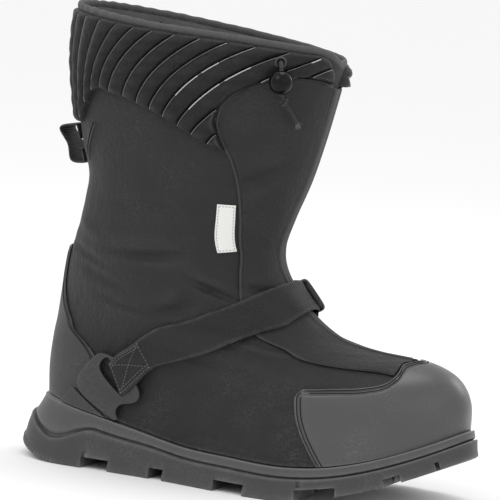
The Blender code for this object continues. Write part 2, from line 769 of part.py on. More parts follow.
def groove_point(number, rise):
    """Share and turn along a groove of the cuff, from its lower end to the rim."""
    low_turn, low_share, high_turn, high_share = [
        from_table(CUFF_GROOVES, number, i) for i in range(1, 5)]
    turn = low_turn + (high_turn - low_turn) * rise ** GROOVE_BEND
    share = low_share + (high_share - low_share) * rise
    return share, turn


def cuff(parts, cutters, material):
    last = CUFF_GROOVES[-1][0]
    numbers = np.linspace(-last, last, 2 * last * RIB_STEPS + 1)
    t, number = np.meshgrid(RIB_RISE, numbers, indexing="ij")
    share, turn = groove_point(abs(number), t)
    share = np.clip(share, 0, 1)
    fullness = abs(np.sin(number * math.pi)) ** RIB_FULLNESS
    fade = np.sin((RIB_END + t * (1 - 2 * RIB_END)) * math.pi) ** RIB_FADE
    puff = BACK_PUFF + (1 - BACK_PUFF) * ease(abs(number) / PUFF_REACH)
    crest = (CUFF_CREST - CUFF_GROOVE) * fullness * fade * puff
    turn = np.radians(np.where(number < 0, -turn, turn))
    outer = on_upper(share, turn, CUFF_GAP + CUFF_GROOVE + crest)
    inner = on_upper(share, turn, CUFF_GAP)
    item = add_object("cuff", solid_between("cuff", outer, inner), parts, material, 50)
    cut(item, panel_seat(cutters))
    return item


def rim_binding(parts, material):
    turns = np.linspace(-math.pi, math.pi, AROUND, endpoint=False)
    points = surface(np.ones(AROUND), turns, -0.0004)
    points[:, 2] += RIM_RADIUS + LAY_GAP
    return tube("rim_binding", points, RIM_RADIUS, parts, material, cyclic=True)


def strap_anchor(name, side, parts, material):
    """Moulded plate bent round the side of the heel, with a slot for the strap."""
    curve = bpy.data.curves.new(name, "CURVE")
    curve.dimensions = "2D"
    curve.fill_mode = "BOTH"
    curve.extrude = 0.5
    for outline in (ANCHOR_OUTLINE, ANCHOR_SLOT):
        line = curve.splines.new("POLY")
        line.points.add(len(outline) - 1)
        for knot, (share, turn) in zip(line.points, outline):
            knot.co = (turn / 100, share, 0, 1)
        line.use_cyclic_u = True
    flat = bpy.data.objects.new(name + "_flat", curve)
    parts.objects.link(flat)
    mesh = bpy.data.meshes.new_from_object(flat.evaluated_get(bpy.context.evaluated_depsgraph_get()))
    bpy.data.objects.remove(flat, do_unlink=True)
    work = bmesh.new()
    work.from_mesh(mesh)
    bmesh.ops.remove_doubles(work, verts=work.verts, dist=1e-6)
    for turn in range(42, 64, 4):
        everything = work.verts[:] + work.edges[:] + work.faces[:]
        bmesh.ops.bisect_plane(work, geom=everything, plane_co=(turn / 100, 0, 0), plane_no=(1, 0, 0))
    lift = 2 * LAY_GAP + OVERLAY_THICKNESS
    for vert in work.verts:
        height = lift + (ANCHOR_THICKNESS if vert.co.z > 0 else 0.0)
        vert.co = Vector(surface(vert.co.y, side * math.radians(vert.co.x * 100), height))
    point_outwards(work)
    work.to_mesh(mesh)
    work.free()
    mesh.name = name
    return add_object(name, mesh, parts, material)


def instep_strap(parts, material):
    """Webbing from slot to slot over the instep, each end folded down into its slot."""
    steps = np.arange(len(STRAP_EDGES))
    plate = 2 * LAY_GAP + OVERLAY_THICKNESS + ANCHOR_THICKNESS
    low = np.where(steps < STRAP_ON_ANCHOR, plate + LAY_GAP, 3 * LAY_GAP + PANEL_THICKNESS)
    low = np.where(steps >= STRAP_ON_FOLD, 4 * LAY_GAP + FOLD_THICKNESS, low)
    high = low + STRAP_THICKNESS
    low[0] -= LAY_GAP + ANCHOR_THICKNESS / 2
    path = np.concatenate([steps, steps[-2::-1]])
    side = np.where(np.arange(len(path)) < len(steps), -1, 1)
    i, v = np.meshgrid(path, np.linspace(0, 1, 4), indexing="ij")
    top_share, top_turn, bottom_share, bottom_turn = [
        np.array(column(STRAP_EDGES, k))[i] for k in range(4)]
    share = top_share + (bottom_share - top_share) * v
    turn = np.radians(side[:, None] * (top_turn + (bottom_turn - top_turn) * v))
    outer, inner = on_upper(share, turn, high[i]), on_upper(share, turn, low[i])
    return add_object("instep_strap", solid_between("instep_strap", outer, inner), parts, material)


def label(parts, material):
    a, b, c, d = [np.array(corner) for corner in LABEL_CORNERS]
    t, v = np.meshgrid(np.linspace(0, 1, 6), np.linspace(0, 1, 3), indexing="ij")
    top = a + (b - a) * v[..., None]
    bottom = d + (c - d) * v[..., None]
    spot = top + (bottom - top) * t[..., None]
    return cover("label", spot[..., 0], -spot[..., 1], LAY_GAP, LABEL_THICKNESS, parts, material)


def strap_buckle(parts, cutters, material):
    """Ladder buckle lying on the strap just past the middle of the instep."""
    share, degrees = BUCKLE_PLACE
    turn = math.radians(degrees)
    lift = 6 * LAY_GAP + PANEL_THICKNESS + STRAP_THICKNESS + BUCKLE_THICKNESS / 2
    centre = Vector(surface(share, turn, lift))
    out = (centre - Vector(surface(share, turn))).normalized()
    along = Vector(surface(share, turn + BUCKLE_STEP)) - Vector(surface(share, turn - BUCKLE_STEP))
    along = (along - out * along.dot(out)).normalized()
    item = box("strap_buckle", parts, (BUCKLE_LENGTH, BUCKLE_WIDTH, BUCKLE_THICKNESS), (0, 0, 0))
    item.data.transform(item.matrix_basis)
    item.scale = (1, 1, 1)
    item.data.materials.append(material)
    edge = item.modifiers.new("edge", "BEVEL")
    edge.width = BUCKLE_THICKNESS / 3
    edge.segments = 2
    for number, shift in enumerate((-BUCKLE_SLOT_SHIFT, BUCKLE_SLOT_SHIFT)):
        size = (BUCKLE_LENGTH * BUCKLE_SLOT_LENGTH, BUCKLE_WIDTH * BUCKLE_SLOT_WIDTH, 2 * BUCKLE_THICKNESS)
        slot = box(f"buckle_slot_{number + 1}", cutters, size, (shift * BUCKLE_LENGTH, 0, 0))
        slot.parent = item
        cut(item, slot)
    turned = Matrix([along, out.cross(along), out]).transposed().to_4x4()
    item.matrix_world = Matrix.Translation(centre) @ turned
    return item


def back_x(height):
    """Back of the leg at a height from the floor."""
    line = on_upper(np.linspace(0, 1, 10 * LEVELS), 0.0)
    return float(np.interp(height, line[:, 2], line[:, 0]))


def pull_loop(parts, material):
    """Webbing loop, kinked, with both ends sewn flat to the back of the leg."""
    top, bottom = LOOP_TOP * SHAFT_HEIGHT, LOOP_BOTTOM * SHAFT_HEIGHT
    line = []
    for share, distance in LOOP_PATH:
        z = bottom + share * (top - bottom)
        line.append((back_x(z) - LAY_GAP - LOOP_THICKNESS / 2 - distance, z))
    tangent = np.gradient(line, axis=0)
    tangent /= np.linalg.norm(tangent, axis=1, keepdims=True)
    normal = np.stack([-tangent[:, 1], tangent[:, 0]], 1)
    faces = []
    for shift in (-0.5, 0.5):
        edge = line + normal * LOOP_THICKNESS * shift
        faces.append([[(x, -LOOP_WIDTH / 2, z), (x, LOOP_WIDTH / 2, z)] for x, z in edge])
    outer, inner = np.array(faces)
    return add_object("pull_loop", solid_between("pull_loop", outer, inner), parts, material)


# Drawcord at the collar

def route(table):
    rows = np.array(table)
    fine = np.linspace(0, len(rows) - 1, 2 * (len(rows) - 1) + 1)
    steps = np.arange(len(rows))
    share, turn, lift = [smooth(steps, rows[:, i], fine) for i in range(3)]
    return surface(share, np.radians(turn), lift)


def at_place(place):
    share, turn, lift = place
    return Vector(surface(share, math.radians(turn), lift))


def drawcord(parts, material):
    return tube("drawcord", route(CORD_ROUTE), CORD_DIAMETER / 2, parts, material)


def cord_tail(parts, material):
    return tube("cord_tail", route(TAIL_ROUTE), CORD_DIAMETER / 2, parts, material)


def cord_lock(parts, cutters, material):
    bpy.ops.mesh.primitive_uv_sphere_add(segments=16, ring_count=10, radius=BALL_DIAMETER / 2)
    item = take_new("cord_lock", parts)
    item.location = at_place(CORD_ROUTE[BALL_ROW])
    item.data.materials.append(material)
    item.data.shade_smooth()
    bpy.ops.mesh.primitive_cylinder_add(vertices=12, radius=BALL_BORE / 2, depth=2 * BALL_DIAMETER)
    bore = take_new("cord_lock_bore", cutters)
    points = route(CORD_ROUTE)
    direction = Vector(points[2 * BALL_ROW + 2]) - Vector(points[2 * BALL_ROW - 2])
    bore.rotation_euler = direction.to_track_quat("Z", "Y").to_euler()
    bore.location = item.location
    cut(item, bore)
    return item


def cord_knot(parts, material):
    bpy.ops.mesh.primitive_uv_sphere_add(segments=10, ring_count=6, radius=KNOT_DIAMETER / 2)
    item = take_new("cord_knot", parts)
    item.location = at_place(KNOT_PLACE)
    item.data.materials.append(material)
    item.data.shade_smooth()
    return item


def cord_eyelet(parts, material):
    share, turn, _ = CORD_ROUTE[0]
    centre = at_place((share, turn, CUFF_GAP + CUFF_CREST + GAP + EYELET_WIRE - EYELET_SINK))
    bpy.ops.mesh.primitive_torus_add(major_radius=EYELET_RADIUS, minor_radius=EYELET_WIRE,
                                     major_segments=14, minor_segments=6)
    item = take_new("cord_eyelet", parts)
    out = centre - at_place((share, turn, 0.0))
    item.rotation_euler = out.to_track_quat("Z", "Y").to_euler()
    item.location = centre
    item.data.materials.append(material)
    item.data.shade_smooth()
    return item


def main():
    clear_scene()
    parts = make_collection(PART_NAME)
    cutters = make_collection(PART_NAME + "_cutters")
    rubber = make_material("sole_rubber", (0.075, 0.074, 0.075), 0.55)
    smooth_rubber = make_material("smooth_rubber", (0.095, 0.092, 0.093), 0.42)
    counter_rubber = make_material("grained_rubber", (0.070, 0.069, 0.070), 0.60)
    nylon = make_material("nylon", (0.040, 0.038, 0.039), 0.80)
    padded = make_material("quilted_nylon", (0.036, 0.035, 0.036), 0.75)
    webbing = make_material("webbing", (0.045, 0.044, 0.045), 0.70)
    felt = make_material("insole_felt", (0.10, 0.10, 0.10), 0.95)
    plastic = make_material("gloss_plastic", (0.010, 0.010, 0.010), 0.15)
    white = make_material("label_cloth", (0.80, 0.80, 0.78), 0.70)
    metal = make_material("eyelet_metal", (0.06, 0.06, 0.06), 0.30, 0.9)
    outsole(parts, cutters, rubber)
    midsole(parts, rubber)
    insole(parts, felt)
    upper(parts, nylon)
    cuff(parts, cutters, padded)
    rim_binding(parts, webbing)
    toe_cap(parts, smooth_rubber)
    heel_counter(parts, counter_rubber)
    for name, side in (("lateral", -1), ("medial", 1)):
        heel_wedge("heel_wedge_" + name, side, parts, smooth_rubber)
        strap_anchor("strap_anchor_" + name, side, parts, smooth_rubber)
        front_panel("front_panel_" + name, side, parts, nylon)
    closure_fold(parts, nylon)
    instep_strap(parts, webbing)
    strap_buckle(parts, cutters, plastic)
    pull_loop(parts, webbing)
    label(parts, white)
    cord_eyelet(parts, metal)
    drawcord(parts, webbing)
    cord_lock(parts, cutters, plastic)
    cord_knot(parts, webbing)
    cord_tail(parts, webbing)


main()
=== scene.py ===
# Looks of the winter overshoe: shell, cuff, sole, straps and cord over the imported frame.
# Metres, +Z up, toe along +X, inner side of the foot along +Y.

import json
import math

import bmesh
import bpy
import numpy as np
from mathutils import Matrix, Vector

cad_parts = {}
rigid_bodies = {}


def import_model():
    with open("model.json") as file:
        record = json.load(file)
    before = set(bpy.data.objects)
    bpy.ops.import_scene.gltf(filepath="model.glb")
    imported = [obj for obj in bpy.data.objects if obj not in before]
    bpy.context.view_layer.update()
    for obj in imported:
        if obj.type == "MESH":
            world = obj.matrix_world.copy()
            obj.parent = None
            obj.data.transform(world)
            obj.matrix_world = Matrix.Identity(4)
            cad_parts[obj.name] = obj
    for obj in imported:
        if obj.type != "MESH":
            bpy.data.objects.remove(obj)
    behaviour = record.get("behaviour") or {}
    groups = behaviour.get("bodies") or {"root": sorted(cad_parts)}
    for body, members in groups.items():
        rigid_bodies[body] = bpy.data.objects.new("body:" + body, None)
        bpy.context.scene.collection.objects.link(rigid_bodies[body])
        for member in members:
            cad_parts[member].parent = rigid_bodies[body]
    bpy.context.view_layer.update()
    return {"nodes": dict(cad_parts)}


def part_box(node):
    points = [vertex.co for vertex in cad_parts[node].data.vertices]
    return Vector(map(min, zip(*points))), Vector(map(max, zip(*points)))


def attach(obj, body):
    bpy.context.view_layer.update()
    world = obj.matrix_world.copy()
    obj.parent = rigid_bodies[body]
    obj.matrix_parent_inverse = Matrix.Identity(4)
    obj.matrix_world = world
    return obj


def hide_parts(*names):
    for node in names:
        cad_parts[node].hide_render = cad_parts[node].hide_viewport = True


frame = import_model()

# Sizes of the shoe, the same as in the part
shoe = {
    "soleLength": 0.347,
    "heelSetback": 0.062,
    "ballWidth": 0.134,
    "shaftHeight": 0.330,
    "heelStack": 0.0465,
    "foreStack": 0.021,
    "toeSpring": 0.038,
    "toeSwing": 0.012,
    "heelBevel": 0.012,
    "bevelEnd": 0.11,
    "bevelCurve": 1.5,
    "bandHeight": 0.0072,
    "heelBandHeight": 0.0105,
    "bandStepEnd": 0.38,
    "bandStepLength": 0.16,
    "heelDish": 0.017,
    "dishPlace": 0.10,
    "dishReach": 0.115,
    "soleInset": 0.0085,
    "upperInset": 0.002,
    "roundBack": 0.15,
    "roundFront": 0.26,
    "springStart": 0.60,
    "swingStart": 0.45,
    "roundness": 2.15,
    "rimRise": 0.0085,
    "collarStart": 0.86,
}
# Layers over the shell
layers = {"lay": 0.0008, "overlay": 0.0013, "panel": 0.0014, "wall": 0.003, "cuff": 0.0023,
          "strap": 0.0018, "anchor": 0.0028, "fold": 0.0026}

# Half-widths of the sole as shares of the ball width, along its length
soleHalves = [
    # place, outer, inner
    (0.00, 0.350, 0.350), (0.14, 0.365, 0.365), (0.38, 0.400, 0.330), (0.60, 0.500, 0.430),
    (0.74, 0.500, 0.500), (0.88, 0.440, 0.500), (1.00, 0.360, 0.440),
]
# Share of the extra heel thickness left along the sole
stackFall = [
    # place, share
    (0.00, 1.00), (0.08, 1.00), (0.20, 0.72), (0.30, 0.46), (0.42, 0.18), (0.55, 0.13),
    (0.68, 0.06), (0.77, 0.02), (0.90, 0.00), (1.00, 0.00),
]
# Sections of the shell from the feather edge to the collar
sections = [
    # back x, back z, front x, front z, heel, middle, fore, round back, round front, sag, follow, swing
    (-0.125, 0.000, 0.797, 0.000, 0.300, 0.360, 0.420, 0.17, 0.30, 1.00, 1.00, 1.0),
    (-0.128, 0.076, 0.793, 0.062, 0.310, 0.360, 0.420, 0.18, 0.30, 0.80, 0.85, 1.0),
    (-0.124, 0.153, 0.765, 0.116, 0.320, 0.370, 0.370, 0.20, 0.34, 0.50, 0.50, 1.0),
    (-0.121, 0.197, 0.714, 0.148, 0.325, 0.380, 0.310, 0.24, 0.42, 0.28, 0.20, 0.9),
    (-0.118, 0.256, 0.657, 0.154, 0.330, 0.385, 0.280, 0.28, 0.48, 0.12, 0.00, 0.8),
    (-0.114, 0.305, 0.591, 0.162, 0.335, 0.385, 0.280, 0.32, 0.50, 0.05, 0.00, 0.6),
    (-0.107, 0.366, 0.518, 0.182, 0.340, 0.390, 0.310, 0.36, 0.50, 0.00, 0.00, 0.4),
    (-0.097, 0.411, 0.441, 0.244, 0.350, 0.385, 0.345, 0.42, 0.50, 0.00, 0.00, 0.2),
    (-0.085, 0.463, 0.383, 0.336, 0.360, 0.385, 0.360, 0.46, 0.50, 0.00, 0.00, 0.0),
    (-0.075, 0.524, 0.366, 0.409, 0.370, 0.385, 0.375, 0.50, 0.50, 0.00, 0.00, 0.0),
    (-0.071, 0.587, 0.383, 0.491, 0.380, 0.395, 0.385, 0.50, 0.50, 0.00, 0.00, 0.0),
    (-0.090, 0.665, 0.415, 0.599, 0.400, 0.410, 0.400, 0.50, 0.50, 0.00, 0.00, 0.0),
    (-0.1045, 0.760, 0.440, 0.713, 0.420, 0.425, 0.415, 0.50, 0.50, 0.00, 0.00, 0.0),
    (-0.1190, 0.880, 0.461, 0.827, 0.435, 0.440, 0.430, 0.50, 0.50, 0.00, 0.00, 0.0),
    (-0.1180, 1.003, 0.475, 0.911, 0.440, 0.445, 0.435, 0.50, 0.50, 0.00, 0.00, 0.0),
]
widthPlaces = (0.18, 0.50, 0.80)
# How the collar's edge rises, by degrees round the leg
collarEdge = [
    # turn, share of the rise
    (-180, 0.00), (-168, 0.75), (-145, 1.00), (-112, 0.88), (-80, 0.42), (-45, 0.15), (0, 0.00),
    (180, 0.00),
]
# Folds pressed into the shell and all that is sewn on it: troughs are negative
creases = [
    # share, turn at one end, share, turn at the other, half-width, depth
    (0.527, -60.0, 0.593, -111.0, 0.0040, -0.0032),
    (0.565, -58.0, 0.628, -108.0, 0.0070, 0.0018),
    (0.527, -105.0, 0.508, -128.0, 0.0038, -0.0031),
    (0.555, -106.0, 0.535, -128.0, 0.0060, 0.0014),
    (0.345, -78.0, 0.487, -101.0, 0.0040, -0.0030),
    (0.375, -72.0, 0.510, -100.0, 0.0060, 0.0016),
    (0.542, -135.0, 0.545, -159.0, 0.0040, -0.0030),
    (0.765, -127.0, 0.818, -156.0, 0.0050, -0.0030),
    (0.800, -124.0, 0.850, -150.0, 0.0080, 0.0016),
    (0.840, -46.5, 0.750, -33.8, 0.0030, 0.0016),
    (0.66, -60.0, 0.71, -108.0, 0.0070, -0.0018),
    (0.585, -26.0, 0.555, -56.0, 0.0066, 0.0016),
    (0.49, -22.0, 0.47, -62.0, 0.0062, -0.0024),
    (0.43, -36.0, 0.41, -72.0, 0.0065, -0.0022),
    (0.36, -50.0, 0.33, -74.0, 0.0060, -0.0020),
    (0.30, -100.0, 0.255, -118.0, 0.0060, 0.0016),
    (0.33, -96.0, 0.20, -112.0, 0.0056, -0.0020),
    (0.24, -70.0, 0.17, -98.0, 0.0060, -0.0016),
    (0.47, 25.0, 0.50, 80.0, 0.0070, -0.0030),
    (0.53, 30.0, 0.55, 95.0, 0.0060, 0.0018),
    (0.58, 20.0, 0.60, 90.0, 0.0065, -0.0026),
    (0.40, 50.0, 0.44, 100.0, 0.0060, -0.0026),
    (0.66, 60.0, 0.70, 120.0, 0.0060, -0.0020),
    (0.33, 60.0, 0.28, 105.0, 0.0060, -0.0020),
    (0.25, 80.0, 0.18, 110.0, 0.0060, 0.0014),
    (0.50, -12.0, 0.51, 14.0, 0.0060, -0.0022),
    (0.56, -16.0, 0.55, 12.0, 0.0060, -0.0018),
]
creaseScale = (0.055, 0.32)     # metres to a radian of turn and to a share of 1
creaseLook = {"bend": 0.15, "fade": 1.6}
bothSides = (("Lateral", -1), ("Medial", 1))


def unit(vectors):
    return vectors / np.linalg.norm(vectors, axis=-1, keepdims=True)


def gridOf(rows, columns):
    return np.meshgrid(rows, columns, indexing="ij")


def circle(count):
    return np.linspace(0, 2 * math.pi, count, endpoint=False)


def smooth(places, values, at):
    places, values = np.asarray(places, float), np.asarray(values, float)
    slopes = np.gradient(values, places)
    at = np.clip(at, places[0], places[-1])
    i = np.clip(np.searchsorted(places, at) - 1, 0, len(places) - 2)
    span = places[i + 1] - places[i]
    t = (at - places[i]) / span
    return ((2 * t**3 - 3 * t**2 + 1) * values[i] + (t**3 - 2 * t**2 + t) * span * slopes[i]
            + (3 * t**2 - 2 * t**3) * values[i + 1] + (t**3 - t**2) * span * slopes[i + 1])


def column(table, index):
    return [row[index] for row in table]


def fromTable(table, at, index=1):
    return smooth(column(table, 0), column(table, index), at)


def straight(table, at):
    return np.interp(at, column(table, 0), column(table, 1))


def ease(value):
    value = np.clip(value, 0.0, 1.0)
    return value * value * (3 - 2 * value)


def rolled(value, least):
    value = np.clip(value, 0, 1)
    return least + (1 - least) * np.sqrt(1 - (1 - value) ** 2)


def bell(distance, width):
    return np.exp(-((distance / width) ** 2))


def rounding(place, back, front):
    power = shoe["roundness"]
    nearBack = np.clip(1 - place / back, 0, 1) ** power
    nearFront = np.clip(1 - (1 - place) / front, 0, 1) ** power
    return ((1 - nearBack) * (1 - nearFront)) ** (1 / power)


def swing(place):
    start = shoe["swingStart"]
    return shoe["toeSwing"] * np.clip((place - start) / (1 - start), 0, 1) ** 2


def spring(place):
    start = shoe["springStart"]
    return shoe["toeSpring"] * np.clip((place - start) / (1 - start), 0, 1) ** 2


def featherHeight(place):
    extra = (shoe["heelStack"] - shoe["foreStack"]) * fromTable(stackFall, place)
    return shoe["foreStack"] + extra + spring(place)


def seamHeight(place):
    step = ease((shoe["bandStepEnd"] - place) / shoe["bandStepLength"])
    band = shoe["bandHeight"] + (shoe["heelBandHeight"] - shoe["bandHeight"]) * step
    dish = shoe["heelDish"] * ease(1 - abs(place - shoe["dishPlace"]) / shoe["dishReach"])
    return featherHeight(place) - band - dish


def floorHeight(place):
    bevel = np.clip(1 - place / shoe["bevelEnd"], 0, 1) ** shoe["bevelCurve"]
    return spring(place) + shoe["heelBevel"] * bevel


def soleHalf(place, side, inset):
    halves = np.where(side < 0, fromTable(soleHalves, place, 1), fromTable(soleHalves, place, 2))
    ends = rounding(place, shoe["roundBack"], shoe["roundFront"])
    return side * ends * (halves * shoe["ballWidth"] - inset) + swing(place)


def placeOf(turn):
    return (1 - np.cos(turn)) / 2


def sideOf(turn):
    return np.where(np.sin(turn) < 0, -1.0, 1.0)


def shellPoint(share, turn):
    share, turn = np.broadcast_arrays(np.asarray(share, float), np.asarray(turn, float))
    steps = np.linspace(0, 1, len(sections))
    (backX, backZ, frontX, frontZ, heel, middle, fore,
     roundBack, roundFront, sag, follow, swung) = [
        smooth(steps, column(sections, i), share) for i in range(len(sections[0]))]
    place, side = placeOf(turn), sideOf(turn)
    a, b, c = widthPlaces
    half = shoe["ballWidth"] * (heel * (place - b) * (place - c) / ((a - b) * (a - c))
                                + middle * (place - a) * (place - c) / ((b - a) * (b - c))
                                + fore * (place - a) * (place - b) / ((c - a) * (c - b)))
    y = side * rounding(place, roundBack, roundFront) * half + swung * swing(place)
    follow = np.clip(follow, 0, 1)
    y = follow * soleHalf(place, side, shoe["soleInset"] + shoe["upperInset"]) + (1 - follow) * y
    x = shoe["soleLength"] * (backX + place * (frontX - backX))
    toeLevel = shoe["foreStack"] + shoe["toeSpring"]
    back = shoe["heelStack"] + backZ * (shoe["shaftHeight"] - shoe["heelStack"])
    front = toeLevel + frontZ * (shoe["shaftHeight"] - toeLevel)
    level = shoe["heelStack"] + place * (toeLevel - shoe["heelStack"])
    z = back + place * (front - back) + sag * (featherHeight(place) - level)
    foot = place * (sections[0][2] - sections[0][0]) + sections[0][0]
    foot = featherHeight(place) - featherHeight(foot + shoe["heelSetback"] / shoe["soleLength"])
    z = z - (foot - layers["lay"]) * (1 - ease(share / 0.10))
    degrees = np.degrees(np.arctan2(np.sin(turn), np.cos(turn)))
    edge = ease((share - shoe["collarStart"]) / (1 - shoe["collarStart"]))
    z = z + shoe["rimRise"] * edge * fromTable(collarEdge, degrees)
    return np.stack([x, y, z], -1)


def creaseHeight(share, turn):
    degrees = np.degrees(np.arctan2(np.sin(turn), np.cos(turn)))
    across, up = creaseScale
    spot = np.stack([np.radians(degrees) * across, share * up], -1)
    height = np.zeros(share.shape)
    for share0, turn0, share1, turn1, width, depth in creases:
        start = np.array([math.radians(turn0) * across, share0 * up])
        way = np.array([math.radians(turn1) * across, share1 * up]) - start
        length = np.linalg.norm(way)
        along = (spot - start) @ way / length**2
        off = (spot - start) @ np.array([-way[1], way[0]]) / length
        bend = creaseLook["bend"] * length * (0.25 - (along - 0.5) ** 2)
        fade = np.exp(-(np.abs(2 * along - 1) ** 3) * creaseLook["fade"])
        height += depth * bell(off - bend, width) * fade
    return height


def surface(share, turn, lift=0.0, pressed=1.0):
    step = 0.002
    share, turn = np.broadcast_arrays(np.asarray(share, float), np.asarray(turn, float))
    low, high = np.clip(share - step, 0, 1), np.clip(share + step, 0, 1)
    along = shellPoint(high, turn) - shellPoint(low, turn)
    across = shellPoint(share, turn + step) - shellPoint(share, turn - step)
    normal = unit(np.cross(along, across))
    height = np.asarray(lift, float) + pressed * creaseHeight(share, turn)
    return shellPoint(share, turn) + normal * height[..., None]


# Making meshes

def gridFaces(rows, columns, wrap, start=0):
    i, j = gridOf(np.arange(rows - 1), np.arange(columns if wrap else columns - 1))
    k = (j + 1) % columns
    low, high = start + i * columns, start + (i + 1) * columns
    return np.stack([low + j, low + k, high + k, high + j], -1).reshape(-1, 4)


def newObject(name, data):
    item = bpy.data.objects.new(name, data)
    bpy.context.scene.collection.objects.link(item)
    return item


def plainMesh(item):
    bpy.context.view_layer.update()
    graph = bpy.context.evaluated_depsgraph_get()
    mesh = bpy.data.meshes.new_from_object(item.evaluated_get(graph))
    bpy.data.objects.remove(item)
    return mesh


def finishObject(mesh, material, sharp=40):
    item = newObject(mesh.name, mesh)
    mesh.materials.clear()
    mesh.materials.append(material)
    mesh.shade_smooth()
    mesh.set_sharp_from_angle(angle=math.radians(sharp))
    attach(item, "root")
    return item


def writeUv(mesh, uv):
    layer = mesh.uv_layers.new(name="cloth")
    corners = np.empty(len(mesh.loops), int)
    mesh.loops.foreach_get("vertex_index", corners)
    layer.data.foreach_set("uv", np.asarray(uv).reshape(-1, 2)[corners].ravel())


def meshFrom(name, points, faces, uv=None):
    mesh = bpy.data.meshes.new(name)
    mesh.from_pydata(np.asarray(points).reshape(-1, 3).tolist(), [], [tuple(f) for f in faces])
    if uv is not None:
        writeUv(mesh, uv)
    work = bmesh.new()
    work.from_mesh(mesh)
    bmesh.ops.remove_doubles(work, verts=work.verts, dist=1e-6)
    bmesh.ops.recalc_face_normals(work, faces=work.faces)
    if work.calc_volume(signed=True) < 0:
        bmesh.ops.reverse_faces(work, faces=work.faces)
    work.to_mesh(mesh)
    work.free()
    return mesh


def shell(name, outer, inner, uv, wrap=False):
    rows, columns = outer.shape[:2]
    count = rows * columns
    faces = [gridFaces(rows, columns, wrap), gridFaces(rows, columns, wrap, count)[:, ::-1]]
    border = []
    for i in (0, rows - 1):
        for j in range(columns if wrap else columns - 1):
            border.append((i * columns + j, i * columns + (j + 1) % columns))
    if not wrap:
        for j in (0, columns - 1):
            for i in range(rows - 1):
                border.append((i * columns + j, (i + 1) * columns + j))
    faces.append(np.array([(a, b, b + count, a + count) for a, b in border]))
    points = np.concatenate([outer.reshape(-1, 3), inner.reshape(-1, 3)])
    uvs = np.concatenate([uv.reshape(-1, 2)] * 2)
    return meshFrom(name, points, np.concatenate(faces), uvs)


def gridUv(along, across):
    return np.stack(np.broadcast_arrays(along, across), -1)


def clothUv(share, turn):
    across, up = creaseScale
    return gridUv(np.asarray(turn) * across, np.asarray(share) * up)


def runs(points, axis):
    steps = np.linalg.norm(np.diff(points, axis=axis), axis=-1)
    start = np.zeros_like(np.take(steps, [0], axis=axis))
    return np.concatenate([start, np.cumsum(steps, axis=axis)], axis=axis)


def borderDistances(points):
    across, up = runs(points, 1), runs(points, 0)
    return {"low": up, "high": up[-1:] - up, "left": across, "right": across[:, -1:] - across}


def insetLine(points, side, distance):
    grid = points if side in ("left", "right") else points.transpose(1, 0, 2)
    if side in ("right", "high"):
        grid = grid[:, ::-1]
    line = []
    for row, run in zip(grid, runs(grid, 1)):
        line.append([np.interp(distance, run, row[:, k]) for k in range(3)])
    return np.array(line)


def borderLine(points, side):
    return {"left": points[:, 0], "right": points[:, -1], "low": points[0], "high": points[-1]}[side]


def sewnLines(points, sides, distances):
    lines = []
    for distance in distances:
        for side in sides:
            line = insetLine(points, side, distance)
            keep = np.ones(len(line), bool)
            for other in sides:
                if other != side:     # lines stop where they would cross near a corner
                    gap = np.linalg.norm(line[:, None] - borderLine(points, other)[None], axis=2)
                    keep &= gap.min(1) >= distance
            lines.append(line[keep])
    return lines


def overlay(name, share, turn, lift, thickness, edge):
    base = surface(share, turn, lift)
    reach = borderDistances(base)
    nearest = np.min([reach[side] for side in edge["round"]], axis=0)
    height = thickness * rolled(nearest / edge["radius"], 0.25)
    for sides, distance, width, depth in edge.get("lines", []):
        near = np.min([reach[side] for side in sides], axis=0)
        height = height + depth * bell(near - distance, width)
    points = surface(share, turn, lift + height)
    return points, shell(name, points, base, clothUv(share, turn))


def resample(points, spacing):
    run = runs(np.asarray(points), 0)
    at = np.linspace(0, run[-1], max(2, int(run[-1] / spacing) + 1))
    return np.stack([np.interp(at, run, np.asarray(points)[:, k]) for k in range(3)], 1)


def addLine(curve, points, cyclic):
    line = curve.splines.new("POLY")
    line.points.add(len(points) - 1)
    for knot, point in zip(line.points, points):
        knot.co = (*point, 1.0)
    line.use_cyclic_u = cyclic


def curveFrom(name, lines, cyclic=False):
    curve = bpy.data.curves.new(name, "CURVE")
    curve.dimensions = "3D"
    for points in lines:
        addLine(curve, points, cyclic)
    return newObject(name, curve)


def newInput(group, name, kind, value=None):
    socket = group.interface.new_socket(name, in_out="INPUT", socket_type=kind)
    if value is not None:
        socket.default_value = value
    return socket


def addNode(tree, kind, inputs=None, **settings):
    made = tree.nodes.new(kind)
    for key, value in settings.items():
        setattr(made, key, value)
    for key, value in (inputs or {}).items():
        if isinstance(value, bpy.types.NodeSocket):
            tree.links.new(value, made.inputs[key])
        else:
            made.inputs[key].default_value = value
    return made


def closeGroup(group, geometry, material, label):
    real = addNode(group, "GeometryNodeRealizeInstances", {"Geometry": geometry})
    painted = addNode(group, "GeometryNodeSetMaterial", {"Geometry": real.outputs[0], "Material": material})
    addNode(group, "NodeGroupOutput", {label: painted.outputs[0]})
    return group


